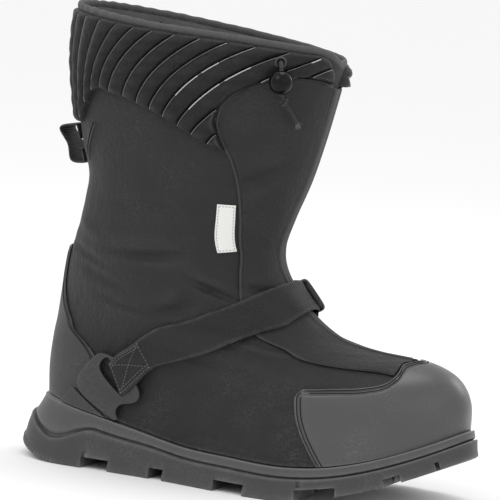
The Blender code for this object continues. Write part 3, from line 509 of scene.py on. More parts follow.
def makeStitchGroup():
    group = bpy.data.node_groups.new("stitchRow", "GeometryNodeTree")
    newInput(group, "Curves", "NodeSocketGeometry")
    newInput(group, "Spacing", "NodeSocketFloat", 0.003)
    newInput(group, "Length", "NodeSocketFloat", 0.002)
    newInput(group, "Thickness", "NodeSocketFloat", 0.0006)
    newInput(group, "Material", "NodeSocketMaterial")
    group.interface.new_socket("Stitches", in_out="OUTPUT", socket_type="NodeSocketGeometry")
    start = addNode(group, "NodeGroupInput").outputs
    spaced = addNode(group, "GeometryNodeResampleCurve",
                     {"Curve": start["Curves"], "Length": start["Spacing"]}, mode="LENGTH")
    ball = addNode(group, "GeometryNodeMeshUVSphere", {"Segments": 8, "Rings": 6, "Radius": 0.5})
    size = addNode(group, "ShaderNodeCombineXYZ",
                   {"X": start["Length"], "Y": start["Thickness"], "Z": start["Thickness"]})
    tangent = addNode(group, "GeometryNodeInputTangent")
    aim = addNode(group, "FunctionNodeAlignRotationToVector", {"Vector": tangent.outputs[0]}, axis="X")
    placed = addNode(group, "GeometryNodeInstanceOnPoints", {
        "Points": spaced.outputs[0], "Instance": ball.outputs["Mesh"],
        "Rotation": aim.outputs[0], "Scale": size.outputs[0]})
    return closeGroup(group, placed.outputs[0], start["Material"], "Stitches")


def makeTubeGroup():
    group = bpy.data.node_groups.new("tubeAlong", "GeometryNodeTree")
    newInput(group, "Curves", "NodeSocketGeometry")
    newInput(group, "Radius", "NodeSocketFloat", 0.001)
    newInput(group, "Sides", "NodeSocketInt", 8)
    newInput(group, "Material", "NodeSocketMaterial")
    group.interface.new_socket("Tubes", in_out="OUTPUT", socket_type="NodeSocketGeometry")
    start = addNode(group, "NodeGroupInput").outputs
    ring = addNode(group, "GeometryNodeCurvePrimitiveCircle",
                   {"Resolution": start["Sides"], "Radius": start["Radius"]})
    tubes = addNode(group, "GeometryNodeCurveToMesh", {
        "Curve": start["Curves"], "Profile Curve": ring.outputs[0], "Fill Caps": True})
    return closeGroup(group, tubes.outputs[0], start["Material"], "Tubes")


def grown(name, source, group, values, material):
    grow = source.modifiers.new("grow", "NODES")
    grow.node_group = group
    for socket in group.interface.items_tree:
        if socket.name in values:
            grow[socket.identifier] = values[socket.name]
        if socket.name == "Material":
            grow[socket.identifier] = material
    mesh = plainMesh(source)
    mesh.name = name
    return finishObject(mesh, material)


stitchGroup = makeStitchGroup()
tubeGroup = makeTubeGroup()


def stitches(name, lines, size, material):
    source = curveFrom(name, [resample(line, 0.0005) for line in lines])
    values = {"Spacing": size["spacing"], "Length": size["length"], "Thickness": size["thickness"]}
    return grown(name, source, stitchGroup, values, material)


def tubes(name, lines, radius, material, slotName, sides=8, cyclic=False):
    source = curveFrom(name, lines, cyclic)
    return grown(name, source, tubeGroup, {"Radius": radius, "Sides": sides}, material)


# Materials

def newGroup(name, inputs, outputs):
    group = bpy.data.node_groups.new(name, "ShaderNodeTree")
    for label, kind, value in inputs:
        newInput(group, label, kind, value)
    for label, kind in outputs:
        group.interface.new_socket(label, in_out="OUTPUT", socket_type=kind)
    return group, addNode(group, "NodeGroupInput").outputs


def mathNode(tree, operation, *values):
    return addNode(tree, "ShaderNodeMath", dict(enumerate(values)), operation=operation).outputs[0]


# Plain weave: threads over and under, with uneven yarn
def makeWeaveGroup():
    group, start = newGroup("weave", [
        ("Vector", "NodeSocketVector", None), ("Pitch", "NodeSocketFloat", 0.001),
        ("Unevenness", "NodeSocketFloat", 0.4)], [("Height", "NodeSocketFloat")])
    parts = addNode(group, "ShaderNodeSeparateXYZ", {"Vector": start["Vector"]}).outputs
    turnsPer = mathNode(group, "DIVIDE", math.pi, start["Pitch"])
    warp = mathNode(group, "SINE", mathNode(group, "MULTIPLY", parts["X"], turnsPer))
    weft = mathNode(group, "SINE", mathNode(group, "MULTIPLY", parts["Y"], turnsPer))
    cross = mathNode(group, "ABSOLUTE", mathNode(group, "MULTIPLY", warp, weft))
    yarn = addNode(group, "ShaderNodeTexNoise", {"Vector": start["Vector"], "Scale": 900.0, "Detail": 3.0})
    uneven = mathNode(group, "MULTIPLY", yarn.outputs["Fac"], start["Unevenness"])
    addNode(group, "NodeGroupOutput", {"Height": mathNode(group, "ADD", cross, uneven)})
    return group


# Ridges across a webbing, with a finer thread along each
def makeRibGroup():
    group, start = newGroup("ribs", [
        ("Vector", "NodeSocketVector", None), ("Pitch", "NodeSocketFloat", 0.0015),
        ("Thread", "NodeSocketFloat", 0.0008)], [("Height", "NodeSocketFloat")])
    parts = addNode(group, "ShaderNodeSeparateXYZ", {"Vector": start["Vector"]}).outputs
    rib = mathNode(group, "SINE", mathNode(group, "MULTIPLY", parts["X"],
                                           mathNode(group, "DIVIDE", math.tau, start["Pitch"])))
    thread = mathNode(group, "SINE", mathNode(group, "MULTIPLY", parts["Y"],
                                              mathNode(group, "DIVIDE", math.tau, start["Thread"])))
    fine = mathNode(group, "MULTIPLY", thread, 0.35)
    addNode(group, "NodeGroupOutput", {"Height": mathNode(group, "ADD", rib, fine)})
    return group


# Edges rubbed lighter, broken up by noise
def makeWearGroup():
    group, start = newGroup("edgeWear", [
        ("Color", "NodeSocketColor", None), ("Worn Color", "NodeSocketColor", None),
        ("Amount", "NodeSocketFloat", 0.5), ("Sharpness", "NodeSocketFloat", 14.0)],
        [("Color", "NodeSocketColor"), ("Mask", "NodeSocketFloat")])
    curved = addNode(group, "ShaderNodeNewGeometry").outputs["Pointiness"]
    raised = mathNode(group, "MULTIPLY", mathNode(group, "SUBTRACT", curved, 0.5), start["Sharpness"])
    place = addNode(group, "ShaderNodeTexCoord").outputs["Object"]
    noise = addNode(group, "ShaderNodeTexNoise", {"Vector": place, "Scale": 160.0, "Detail": 5.0})
    broken = mathNode(group, "MULTIPLY", raised, mathNode(group, "MULTIPLY", noise.outputs["Fac"], 1.6))
    mask = addNode(group, "ShaderNodeClamp", {"Value": mathNode(group, "MULTIPLY", broken, start["Amount"])})
    mixed = addNode(group, "ShaderNodeMix", {
        "Factor": mask.outputs[0], 6: start["Color"], 7: start["Worn Color"]}, data_type="RGBA")
    addNode(group, "NodeGroupOutput", {"Color": mixed.outputs[2], "Mask": mask.outputs[0]})
    return group


# Faint pale dust in patches, a little more low down
def makeDustGroup():
    group, start = newGroup("dust", [
        ("Color", "NodeSocketColor", None), ("Dust Color", "NodeSocketColor", None),
        ("Amount", "NodeSocketFloat", 0.1)], [("Color", "NodeSocketColor"), ("Mask", "NodeSocketFloat")])
    place = addNode(group, "ShaderNodeTexCoord").outputs["Object"]
    wide = addNode(group, "ShaderNodeTexNoise", {"Vector": place, "Scale": 28.0, "Detail": 6.0})
    fine = addNode(group, "ShaderNodeTexNoise", {"Vector": place, "Scale": 700.0, "Detail": 3.0})
    patches = addNode(group, "ShaderNodeMapRange", {
        "Value": wide.outputs["Fac"], "From Min": 0.42, "From Max": 0.72})
    spots = addNode(group, "ShaderNodeMapRange", {
        "Value": fine.outputs["Fac"], "From Min": 0.45, "From Max": 0.75})
    height = addNode(group, "ShaderNodeSeparateXYZ", {"Vector": place}).outputs["Z"]
    low = addNode(group, "ShaderNodeMapRange", {
        "Value": height, "From Min": 0.0, "From Max": 0.12, "To Min": 1.6, "To Max": 0.7})
    mask = mathNode(group, "MULTIPLY", mathNode(group, "MULTIPLY", patches.outputs[0], spots.outputs[0]),
                    mathNode(group, "MULTIPLY", low.outputs[0], start["Amount"]))
    mixed = addNode(group, "ShaderNodeMix", {
        "Factor": mask, 6: start["Color"], 7: start["Dust Color"]}, data_type="RGBA")
    addNode(group, "NodeGroupOutput", {"Color": mixed.outputs[2], "Mask": mask})
    return group


# Pebbled grain: small rounded cells with creases between them
def makeGrainGroup():
    group, start = newGroup("pebbleGrain", [
        ("Scale", "NodeSocketFloat", 600.0), ("Fine", "NodeSocketFloat", 0.3)],
        [("Height", "NodeSocketFloat")])
    place = addNode(group, "ShaderNodeTexCoord").outputs["Object"]
    bent = addNode(group, "ShaderNodeTexNoise", {"Vector": place, "Scale": 90.0, "Detail": 2.0})
    shift = addNode(group, "ShaderNodeVectorMath", {0: bent.outputs["Color"], "Scale": 0.004},
                    operation="SCALE")
    moved = addNode(group, "ShaderNodeVectorMath", {0: place, 1: shift.outputs[0]}, operation="ADD")
    cells = addNode(group, "ShaderNodeTexVoronoi", {
        "Vector": moved.outputs[0], "Scale": start["Scale"]}, feature="SMOOTH_F1")
    fine = addNode(group, "ShaderNodeTexNoise", {"Vector": place, "Scale": 2200.0, "Detail": 2.0})
    rounded = mathNode(group, "SUBTRACT", 1.0, cells.outputs["Distance"])
    height = mathNode(group, "ADD", rounded, mathNode(group, "MULTIPLY", fine.outputs["Fac"], start["Fine"]))
    addNode(group, "NodeGroupOutput", {"Height": height})
    return group


weaveGroup, ribGroup, wearGroup = makeWeaveGroup(), makeRibGroup(), makeWearGroup()
dustGroup, grainGroup = makeDustGroup(), makeGrainGroup()


def useGroup(tree, group, inputs):
    return addNode(tree, "ShaderNodeGroup", inputs, node_tree=group)


# Principled surface with colour variation, dust, worn edges and up to two layers of bump
def makeMaterial(name, look):
    material = bpy.data.materials.new(name)
    material.use_nodes = True
    tree = material.node_tree
    shader = tree.nodes["Principled BSDF"]
    place = addNode(tree, "ShaderNodeTexCoord").outputs["Object"]
    cloth = addNode(tree, "ShaderNodeUVMap", uv_map="cloth").outputs[0]
    dark = (*look["color"], 1.0)
    light = (*[min(1.0, c * look.get("variation", 1.25)) for c in look["color"]], 1.0)
    tone = addNode(tree, "ShaderNodeTexNoise", {
        "Vector": place, "Scale": look.get("toneScale", 45.0), "Detail": 6.0, "Roughness": 0.6})
    toned = addNode(tree, "ShaderNodeMix", {"Factor": tone.outputs["Fac"], 6: dark, 7: light},
                    data_type="RGBA")
    dusty = useGroup(tree, dustGroup, {
        "Color": toned.outputs[2], "Dust Color": (0.32, 0.31, 0.30, 1.0), "Amount": look.get("dust", 0.1)})
    worn = useGroup(tree, wearGroup, {
        "Color": dusty.outputs["Color"], "Amount": look.get("wear", 0.3),
        "Worn Color": (*look.get("wornColor", (0.16, 0.155, 0.155)), 1.0)})
    tree.links.new(worn.outputs["Color"], shader.inputs["Base Color"])
    sheen = addNode(tree, "ShaderNodeMapRange", {
        "Value": tone.outputs["Fac"], "From Min": 0.3, "From Max": 0.7,
        "To Min": look["roughness"] - look.get("patchy", 0.05),
        "To Max": look["roughness"] + look.get("patchy", 0.05)})
    tree.links.new(sheen.outputs[0], shader.inputs["Roughness"])
    shader.inputs["Metallic"].default_value = look.get("metallic", 0.0)
    shader.inputs["Coat Weight"].default_value = look.get("coat", 0.0)
    shader.inputs["Coat Roughness"].default_value = look.get("coatRoughness", 0.25)
    shader.inputs["Sheen Weight"].default_value = look.get("sheen", 0.0)
    shader.inputs["Sheen Roughness"].default_value = 0.5
    shader.inputs["Specular IOR Level"].default_value = look.get("specular", 0.5)
    normal = None
    for kind, settings, strength, depth in look["bumps"]:
        if kind == "weave":
            height = useGroup(tree, weaveGroup, {"Vector": cloth, **settings}).outputs["Height"]
        elif kind == "ribs":
            height = useGroup(tree, ribGroup, {"Vector": cloth, **settings}).outputs["Height"]
        elif kind == "grain":
            height = useGroup(tree, grainGroup, settings).outputs["Height"]
        else:
            height = addNode(tree, "ShaderNodeTexNoise", {"Vector": place, **settings}).outputs["Fac"]
        bump = addNode(tree, "ShaderNodeBump", {"Height": height, "Strength": strength, "Distance": depth})
        if normal:
            tree.links.new(normal, bump.inputs["Normal"])
        normal = bump.outputs["Normal"]
    tree.links.new(normal, shader.inputs["Normal"])
    return material


# Bumps: size of the pattern first, then strength and depth
def noise(scale, detail, strength, depth, roughness=0.5):
    return "noise", {"Scale": scale, "Detail": detail, "Roughness": roughness}, strength, depth


def weave(pitch, strength, depth):
    return "weave", {"Pitch": pitch}, strength, depth


def ribs(pitch, thread, strength, depth):
    return "ribs", {"Pitch": pitch, "Thread": thread}, strength, depth


def grain(scale, fine, strength, depth):
    return "grain", {"Scale": scale, "Fine": fine}, strength, depth


looks = {
    "nylon": {
        "color": (0.0124, 0.0115, 0.0120), "roughness": 0.62, "patchy": 0.06, "sheen": 0.03,
        "dust": 0.10, "wear": 0.25, "specular": 0.27, "toneScale": 330.0, "variation": 1.7,
        "bumps": [noise(42.0, 6.0, 0.75, 0.0032, 0.62), noise(330.0, 3.0, 0.65, 0.0011),
                  weave(0.0011, 0.35, 0.00025)]},
    "quilt": {
        "color": (0.0058, 0.0054, 0.0056), "roughness": 0.55, "patchy": 0.06, "sheen": 0.02,
        "dust": 0.06, "wear": 0.25, "specular": 0.20, "toneScale": 330.0, "variation": 1.6,
        "bumps": [noise(95.0, 5.0, 0.65, 0.0020, 0.6), noise(360.0, 3.0, 0.55, 0.0008),
                  weave(0.0011, 0.35, 0.00025)]},
    "hem": {
        "color": (0.052, 0.051, 0.052), "roughness": 0.70, "sheen": 0.05, "specular": 0.35,
        "dust": 0.12, "wear": 0.3,
        "bumps": [noise(260.0, 4.0, 0.5, 0.0008), ribs(0.0014, 0.0007, 0.5, 0.0003)]},
    "piping": {
        "color": (0.085, 0.083, 0.085), "roughness": 0.30, "dust": 0.05, "wear": 0.0,
        "coat": 1.0, "coatRoughness": 0.10,
        "bumps": [noise(900.0, 3.0, 0.5, 0.0003)]},
    # Pale colour for painted glints of light on the glossy cuff piping
    "pipingPaintedGlint": {
        "color": (0.42, 0.41, 0.42), "roughness": 0.30, "dust": 0.0, "wear": 0.0,
        "variation": 1.4, "toneScale": 220.0,
        "bumps": [noise(900.0, 3.0, 0.5, 0.0003)]},
    "edging": {
        "color": (0.030, 0.0295, 0.030), "roughness": 0.50, "dust": 0.05, "wear": 0.0, "specular": 0.4,
        "bumps": [noise(900.0, 3.0, 0.5, 0.0003)]},
    "thread": {
        "color": (0.042, 0.041, 0.042), "roughness": 0.55, "dust": 0.05, "wear": 0.0,
        "bumps": [noise(2500.0, 2.0, 0.5, 0.0001)]},
    "boxThread": {
        "color": (0.075, 0.073, 0.075), "roughness": 0.50, "dust": 0.05, "wear": 0.0,
        "bumps": [noise(2500.0, 2.0, 0.5, 0.0001)]},
    "seamShadow": {
        "color": (0.006, 0.0058, 0.006), "roughness": 0.85, "dust": 0.05, "wear": 0.0, "specular": 0.2,
        "bumps": [noise(1200.0, 2.0, 0.4, 0.0002)]},
    "lining": {
        "color": (0.075, 0.074, 0.075), "roughness": 0.80, "sheen": 0.05, "specular": 0.3,
        "dust": 0.05, "wear": 0.1,
        "bumps": [noise(120.0, 5.0, 0.5, 0.0012), weave(0.0012, 0.4, 0.0003)]},
    "webbing": {
        "color": (0.0100, 0.0094, 0.0098), "roughness": 0.60, "sheen": 0.02, "specular": 0.32,
        "dust": 0.07, "wear": 0.3,
        "bumps": [ribs(0.0021, 0.0011, 0.65, 0.0004), noise(600.0, 3.0, 0.3, 0.0003)]},
    "capRubber": {
        "color": (0.046, 0.0446, 0.0455), "roughness": 0.36, "patchy": 0.05, "dust": 0.16, "wear": 0.35,
        "variation": 1.15, "coat": 0.12, "coatRoughness": 0.35, "wornColor": (0.20, 0.195, 0.195),
        "bumps": [noise(35.0, 4.0, 0.25, 0.0012), grain(1500.0, 0.4, 0.12, 0.0002)]},
    "anchorRubber": {
        "color": (0.027, 0.0256, 0.0262), "roughness": 0.42, "dust": 0.12, "wear": 0.4, "specular": 0.42,
        "variation": 1.15, "wornColor": (0.17, 0.165, 0.165),
        "bumps": [noise(50.0, 4.0, 0.25, 0.001), grain(1500.0, 0.4, 0.12, 0.0002)]},
    "counterRubber": {
        "color": (0.0235, 0.0230, 0.0235), "roughness": 0.48, "dust": 0.10, "specular": 0.4, "wear": 0.35,
        "bumps": [noise(60.0, 4.0, 0.3, 0.001), grain(620.0, 0.3, 0.45, 0.0004)]},
    "soleRubber": {
        "color": (0.033, 0.0321, 0.0328), "roughness": 0.52, "dust": 0.10, "specular": 0.42, "wear": 0.5,
        "variation": 1.3, "wornColor": (0.19, 0.185, 0.185),
        "bumps": [noise(75.0, 4.0, 0.2, 0.001), grain(900.0, 0.5, 0.35, 0.0003)]},
    "bandRubber": {
        "color": (0.042, 0.041, 0.042), "roughness": 0.44, "dust": 0.10, "wear": 0.6,
        "wornColor": (0.21, 0.205, 0.205),
        "bumps": [noise(75.0, 4.0, 0.2, 0.0008), grain(1100.0, 0.5, 0.25, 0.00025)]},
    "bandEdge": {
        "color": (0.105, 0.103, 0.104), "roughness": 0.45, "dust": 0.15, "wear": 0.4,
        "bumps": [grain(1100.0, 0.5, 0.25, 0.00025)]},
    "ballPlastic": {
        "color": (0.003, 0.003, 0.003), "roughness": 0.11, "patchy": 0.03, "dust": 0.02, "wear": 0.0,
        "coat": 0.0, "coatRoughness": 0.06, "specular": 0.16,
        "bumps": [noise(140.0, 2.0, 0.06, 0.0006)]},
    "bucklePlastic": {
        "color": (0.0065, 0.0065, 0.0065), "roughness": 0.42, "dust": 0.05, "wear": 0.3, "specular": 0.3,
        "bumps": [noise(700.0, 3.0, 0.2, 0.0002)]},
    "cordNylon": {
        "color": (0.012, 0.0115, 0.012), "roughness": 0.62, "sheen": 0.04, "specular": 0.3,
        "dust": 0.08, "wear": 0.2,
        "bumps": [ribs(0.0016, 0.0016, 0.8, 0.0004)]},
    "fray": {
        "color": (0.10, 0.098, 0.10), "roughness": 0.70, "dust": 0.0, "wear": 0.0,
        "bumps": [noise(900.0, 2.0, 0.3, 0.0002)]},
    "labelCloth": {
        "color": (0.72, 0.72, 0.70), "roughness": 0.72, "variation": 1.08, "dust": 0.10, "wear": 0.0,
        "bumps": [ribs(0.0009, 0.0009, 0.4, 0.0002), noise(160.0, 3.0, 0.2, 0.0005)]},
    "eyeletMetal": {
        "color": (0.045, 0.045, 0.045), "roughness": 0.35, "metallic": 0.8, "dust": 0.05, "wear": 0.4,
        "bumps": [noise(900.0, 2.0, 0.15, 0.0001)]},
    "felt": {
        "color": (0.055, 0.054, 0.055), "roughness": 0.95, "sheen": 0.5, "dust": 0.2, "wear": 0.0,
        "bumps": [noise(500.0, 5.0, 0.8, 0.0008)]},
}
paint = {name: makeMaterial(name, look) for name, look in looks.items()}
print("materials made")


# Camera, floor and lights

camera = {"azimuth": 24.0, "elevation": 6.9, "roll": 4.2, "target": (0.115, 0.0, 0.16),
          "distance": 3.2, "pixelsPerMetre": 1385.0, "pixels": 500, "centre": (262.5, 262.0), "sensor": 36.0}


def makeCamera():
    a, e = math.radians(camera["azimuth"]), math.radians(camera["elevation"])
    back = Vector((math.sin(a) * math.cos(e), -math.cos(a) * math.cos(e), math.sin(e)))
    right = Vector((math.cos(a), math.sin(a), 0))
    above = back.cross(right)
    roll = math.radians(camera["roll"])
    right2 = right * math.cos(roll) + above * math.sin(roll)
    above2 = above * math.cos(roll) - right * math.sin(roll)
    data = bpy.data.cameras.new("camera")
    item = newObject("camera", data)
    turned = Matrix((right2, above2, back)).transposed().to_4x4()
    item.matrix_world = Matrix.Translation(Vector(camera["target"]) + back * camera["distance"]) @ turned
    data.sensor_width = camera["sensor"]
    data.lens = camera["pixelsPerMetre"] * camera["distance"] * camera["sensor"] / camera["pixels"]
    half = camera["pixels"] / 2
    data.shift_x = (half - camera["centre"][0]) / camera["pixels"]
    data.shift_y = (camera["centre"][1] - half) / camera["pixels"]
    data.clip_start, data.clip_end = 0.1, 60.0
    bpy.context.scene.camera = item
    return back, right


towardsCamera, toTheRight = makeCamera()

floorLook = {"radius": 14.0, "color": (0.93, 0.93, 0.93), "roughness": 0.9}


def makeFloor():
    bpy.ops.mesh.primitive_circle_add(vertices=96, radius=floorLook["radius"], fill_type="NGON")
    floor = bpy.context.object
    floor.name = "floor"
    material = bpy.data.materials.new("floorPaper")
    material.use_nodes = True
    shader = material.node_tree.nodes["Principled BSDF"]
    shader.inputs["Base Color"].default_value = (*floorLook["color"], 1.0)
    shader.inputs["Roughness"].default_value = floorLook["roughness"]
    shader.inputs["Specular IOR Level"].default_value = 0.0
    floor.data.materials.append(material)


# Soft boxes: direction from the shoe (to the camera, to the right, up), distance, size, power
softBoxes = [
    ("keyLight", (0.75, -0.70, 1.10), 1.6, 0.9, 4.8),
    ("fillLight", (1.00, 0.90, 0.45), 1.9, 1.3, 1.5),
    ("topLight", (-0.15, 0.10, 1.50), 1.5, 0.8, 4.5),
    ("rimLight", (-0.80, 1.00, 0.60), 1.7, 0.7, 3.0),
]


def makeLights():
    aim = Vector(camera["target"])
    flat = Vector((towardsCamera.x, towardsCamera.y, 0)).normalized()
    for name, (near, right, up), distance, size, power in softBoxes:
        way = (flat * near + toTheRight * right + Vector((0, 0, up))).normalized()
        data = bpy.data.lights.new(name, "AREA")
        data.shape = "DISK"
        data.size = size
        data.energy = power
        item = newObject(name, data)
        item.location = aim + way * distance
        item.rotation_euler = (-way).to_track_quat("-Z", "Y").to_euler()
    world = bpy.data.worlds.new("studio")
    world.use_nodes = True
    bpy.context.scene.world = world
    shade = world.node_tree.nodes["Background"]
    shade.inputs["Color"].default_value = (1.0, 1.0, 1.0, 1.0)
    shade.inputs["Strength"].default_value = 1.0
    bpy.context.scene.view_settings.view_transform = "Standard"


makeFloor()
makeLights()
print("stage made")


# Drawcord: from the eyelet through the ball and the knot to its frayed end

cordLook = {"radius": 0.0015, "knotRadius": 0.0037, "knotTube": 0.0013, "ballRadius": 0.00875,
            "boreRadius": 0.0034, "eyeletRadius": 0.0033, "eyeletWire": 0.0011, "fibres": 22,
            "fibreLength": 0.0065, "fibreRadius": 0.00016, "fibreSpread": 0.0022, "lip": 0.0006,
            "knotFacing": (0.3, -0.9, 0.2)}
# share, turn and height over the shell
cordRoute = [
    (0.9770, -136.60, 0.0064), (0.9762, -136.60, 0.0112), (0.9710, -136.75, 0.0148),
    (0.9640, -136.90, 0.0160), (0.9460, -137.60, 0.0162), (0.9280, -138.60, 0.0150),
    (0.9244, -139.60, 0.0139), (0.9170, -140.90, 0.0122), (0.9108, -142.80, 0.0115),
    (0.9020, -145.80, 0.0104), (0.8930, -148.50, 0.0097), (0.8880, -150.20, 0.0092),
]
ballPlace = (0.946, -137.6, 0.0162)
knotPlace = (0.917, -140.9, 0.0122)
eyeletLift = 0.0074


def atPlace(place):
    share, turn, lift = place
    return Vector(surface(share, math.radians(turn), lift, 0.0))


def cordPoints():
    rows = np.array(cordRoute)
    steps = np.arange(len(rows))
    fine = np.linspace(0, len(rows) - 1, 100)
    share, turn, lift = [smooth(steps, rows[:, i], fine) for i in range(3)]
    return resample(surface(share, np.radians(turn), lift, 0.0), 0.0012)


# A closed profile of (radius, height) turned round an axis
def lathe(name, profile, centre, axis, segments=64):
    profile = np.asarray(profile)
    turns = circle(segments)
    aim = np.array(Vector(axis).to_track_quat("Z", "Y").to_matrix())
    x = profile[:, :1] * np.cos(turns)
    y = profile[:, :1] * np.sin(turns)
    z = np.repeat(profile[:, 1:], segments, 1)
    points = np.stack([x, y, z], -1) @ aim.T + np.array(centre)
    points = np.concatenate([points, points[:1]], 0)
    return meshFrom(name, points, gridFaces(len(points), segments, True))


def makeLock(points):
    ball = atPlace(ballPlace)
    near = int(np.argmin(np.linalg.norm(points - np.array(ball), axis=1)))
    way = Vector(points[near + 2]) - Vector(points[near - 2])
    radius, bore, lip = cordLook["ballRadius"], cordLook["boreRadius"], cordLook["lip"]
    start = math.asin(bore / radius)
    arc = np.linspace(start, math.pi - start, 40)
    profile = [(radius * math.sin(t), radius * math.cos(t)) for t in arc]
    profile += [(bore - lip * 0.3, -radius * math.cos(start) + lip * 0.6),
                (bore - lip * 0.3, radius * math.cos(start) - lip * 0.6)]
    lock = finishObject(lathe("cordLockBall", profile, ball, way), paint["ballPlastic"])
    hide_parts("cord_lock")
    return lock


def makeEyelet():
    centre = atPlace((cordRoute[0][0], cordRoute[0][1], eyeletLift))
    out = centre - atPlace((cordRoute[0][0], cordRoute[0][1], 0.0))
    radius, wire = cordLook["eyeletRadius"], cordLook["eyeletWire"]
    ring = [(radius + wire * math.cos(t), wire * math.sin(t)) for t in circle(16)]
    eyelet = finishObject(lathe("cordEyelet", ring, centre, out), paint["eyeletMetal"])
    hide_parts("cord_eyelet")
    return eyelet


def makeKnot():
    t = np.linspace(0, 2 * math.pi, 90)
    size = (cordLook["knotRadius"] - cordLook["knotTube"]) / 3
    loops = size * np.stack([np.sin(t) + 2 * np.sin(2 * t), np.cos(t) - 2 * np.cos(2 * t),
                             -1.3 * np.sin(3 * t)], -1)
    aim = np.array(Vector(cordLook["knotFacing"]).to_track_quat("Z", "Y").to_matrix())
    line = loops @ aim.T + np.array(atPlace(knotPlace))
    knot = tubes("cordKnotLoops", [line], cordLook["knotTube"], paint["cordNylon"], "webbing", sides=10)
    uvFromPath(knot.data, line)
    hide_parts("cord_knot")
    return knot


def makeFray(points):
    end, before = points[-1], points[-4]
    down = unit(end - before)
    lines = []
    for i in range(cordLook["fibres"]):
        turn = i * 2.4
        spread = 0.25 + 0.75 * ((i * 7) % 11) / 11
        side = np.array([math.cos(turn), 0.4 * math.sin(turn), math.sin(turn)])
        side -= down * (side @ down)
        foot = end - down * 0.0012 + side * cordLook["radius"] * 0.7 * spread
        reach = cordLook["fibreLength"] * (0.6 + 0.4 * ((i * 5) % 7) / 7)
        at = np.linspace(0, 1, 6)[:, None]
        lines.append(foot + down * reach * at + side * cordLook["fibreSpread"] * spread * at**1.7)
    return tubes("cordFray", lines, cordLook["fibreRadius"], paint["fray"], "webbing", sides=4)


def makeCord():
    points = cordPoints()
    cord = tubes("cordLine", [points], cordLook["radius"], paint["cordNylon"], "webbing", sides=16)
    uvFromPath(cord.data, points)
    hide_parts("drawcord", "cord_tail")
    lock, eyelet, knot, fibres = makeLock(points), makeEyelet(), makeKnot(), makeFray(points)


# Lengthways and round-about coordinates in metres for a tube along a line
def uvFromPath(mesh, line):
    line = np.asarray(line)
    run = runs(line, 0)
    places = np.array([v.co[:] for v in mesh.vertices])
    nearest = np.argmin(np.linalg.norm(places[:, None, :] - line[None], axis=2), axis=1)
    off = places - line[nearest]
    tangent = unit(np.gradient(line, axis=0))
    side = unit(np.cross(tangent, [0.3, 0.2, 1.0]))
    other = np.cross(tangent, side)
    turn = np.arctan2(np.sum(off * other[nearest], 1), np.sum(off * side[nearest], 1))
    uv = np.stack([run[nearest] + np.sum(off * tangent[nearest], 1), turn * 0.0015], 1)
    writeUv(mesh, uv)


makeCord()


# Sole: lugged outsole, and the band between it and the shell

soleLook = {"around": 360, "lugDepth": 0.008, "channelWidth": 0.007, "channelDepth": 0.8,
            "gap": 0.0003, "nick": 0.0034, "nickWidth": 0.0028, "ribRadius": 0.00075,
            "bandEdge": 0.00045, "tipReach": 0.04}
# Insets at the heel, the toe, the sides and the tips, and how far up the side each row stands
outsoleStops = (0, 0.55, 1)
outsoleRings = [(0.0, 0.0, 0.0, 0.0), (0.0015, 0.0, 0.0018, 0.0), (0.0055, 0.0015, 0.0045, 0.0)]
bandStops = (0, 1)
midsoleRings = [(0.0055, 0.0015, 0.0060, 0.0015), (0.0165, 0.0050, 0.0085, 0.0)]
# Height up the outsole's side, extra inset there
outsoleSide = [
    (0.00, 0.0010), (0.03, 0.0002), (0.07, 0.0), (0.20, 0.0002), (0.40, 0.0007), (0.60, 0.0007),
    (0.78, 0.0003), (0.86, 0.0), (0.93, -0.0002), (0.975, 0.0), (1.00, 0.0010),
]
# Height up the band, extra inset there: groove, then the plain band
bandSide = [
    (0.00, 0.0016), (0.06, 0.0013), (0.11, 0.0002), (0.18, -0.0003), (0.35, -0.0006), (0.55, -0.0008),
    (0.75, -0.0009), (0.86, -0.0010), (0.93, -0.0009), (0.975, -0.0003), (1.00, 0.0006),
]
lugSlots = [
    # place as a share of the sole, width, degrees
    (0.231, 0.0225, -4.0), (0.376, 0.0118, -3.0), (0.548, 0.0250, 0.0), (0.731, 0.0300, 4.0),
    (0.870, 0.0115, 10.0), (0.950, 0.0030, 14.0),
]
channelPlaces = (-0.15, 0.15)


def insetsAt(level, stops, rings):
    return [float(np.interp(level, stops, column(rings, i))) for i in range(4)]


def soleRing(back, front, inset, tip, extra, heightAt):
    turns = circle(soleLook["around"])
    place = placeOf(turns)
    reach = soleLook["tipReach"]
    back, front, inset = back + extra, front + extra, inset + extra
    x = back + place * (shoe["soleLength"] - back - front)
    x += tip * (np.clip(1 - place / reach, 0, 1) - np.clip(1 - (1 - place) / reach, 0, 1))
    y = soleHalf(place, sideOf(turns), inset)
    return np.stack([x - shoe["heelSetback"], y, heightAt(x / shoe["soleLength"])], -1)


def ringSolid(name, rings):
    rings = np.asarray(rings)
    rows, columns = rings.shape[:2]
    faces = [tuple(f) for f in gridFaces(rows, columns, True)]
    half = columns // 2
    for start in (0, (rows - 1) * columns):
        for j in range(half):
            strip = [start + j, start + j + 1, start + (columns - j - 1), start + (columns - j) % columns]
            faces.append(tuple(dict.fromkeys(strip)))
    return meshFrom(name, rings, faces)


def boxMesh(size, centre, turn=0.0, tilt=0.0):
    mesh = bpy.data.meshes.new("cutter")
    work = bmesh.new()
    bmesh.ops.create_cube(work, size=1.0)
    work.to_mesh(mesh)
    work.free()
    mesh.transform(Matrix.Translation(centre) @ Matrix.Rotation(turn, 4, "Z")
                   @ Matrix.Rotation(tilt, 4, "Y") @ Matrix.Diagonal((*size, 1.0)))
    return mesh


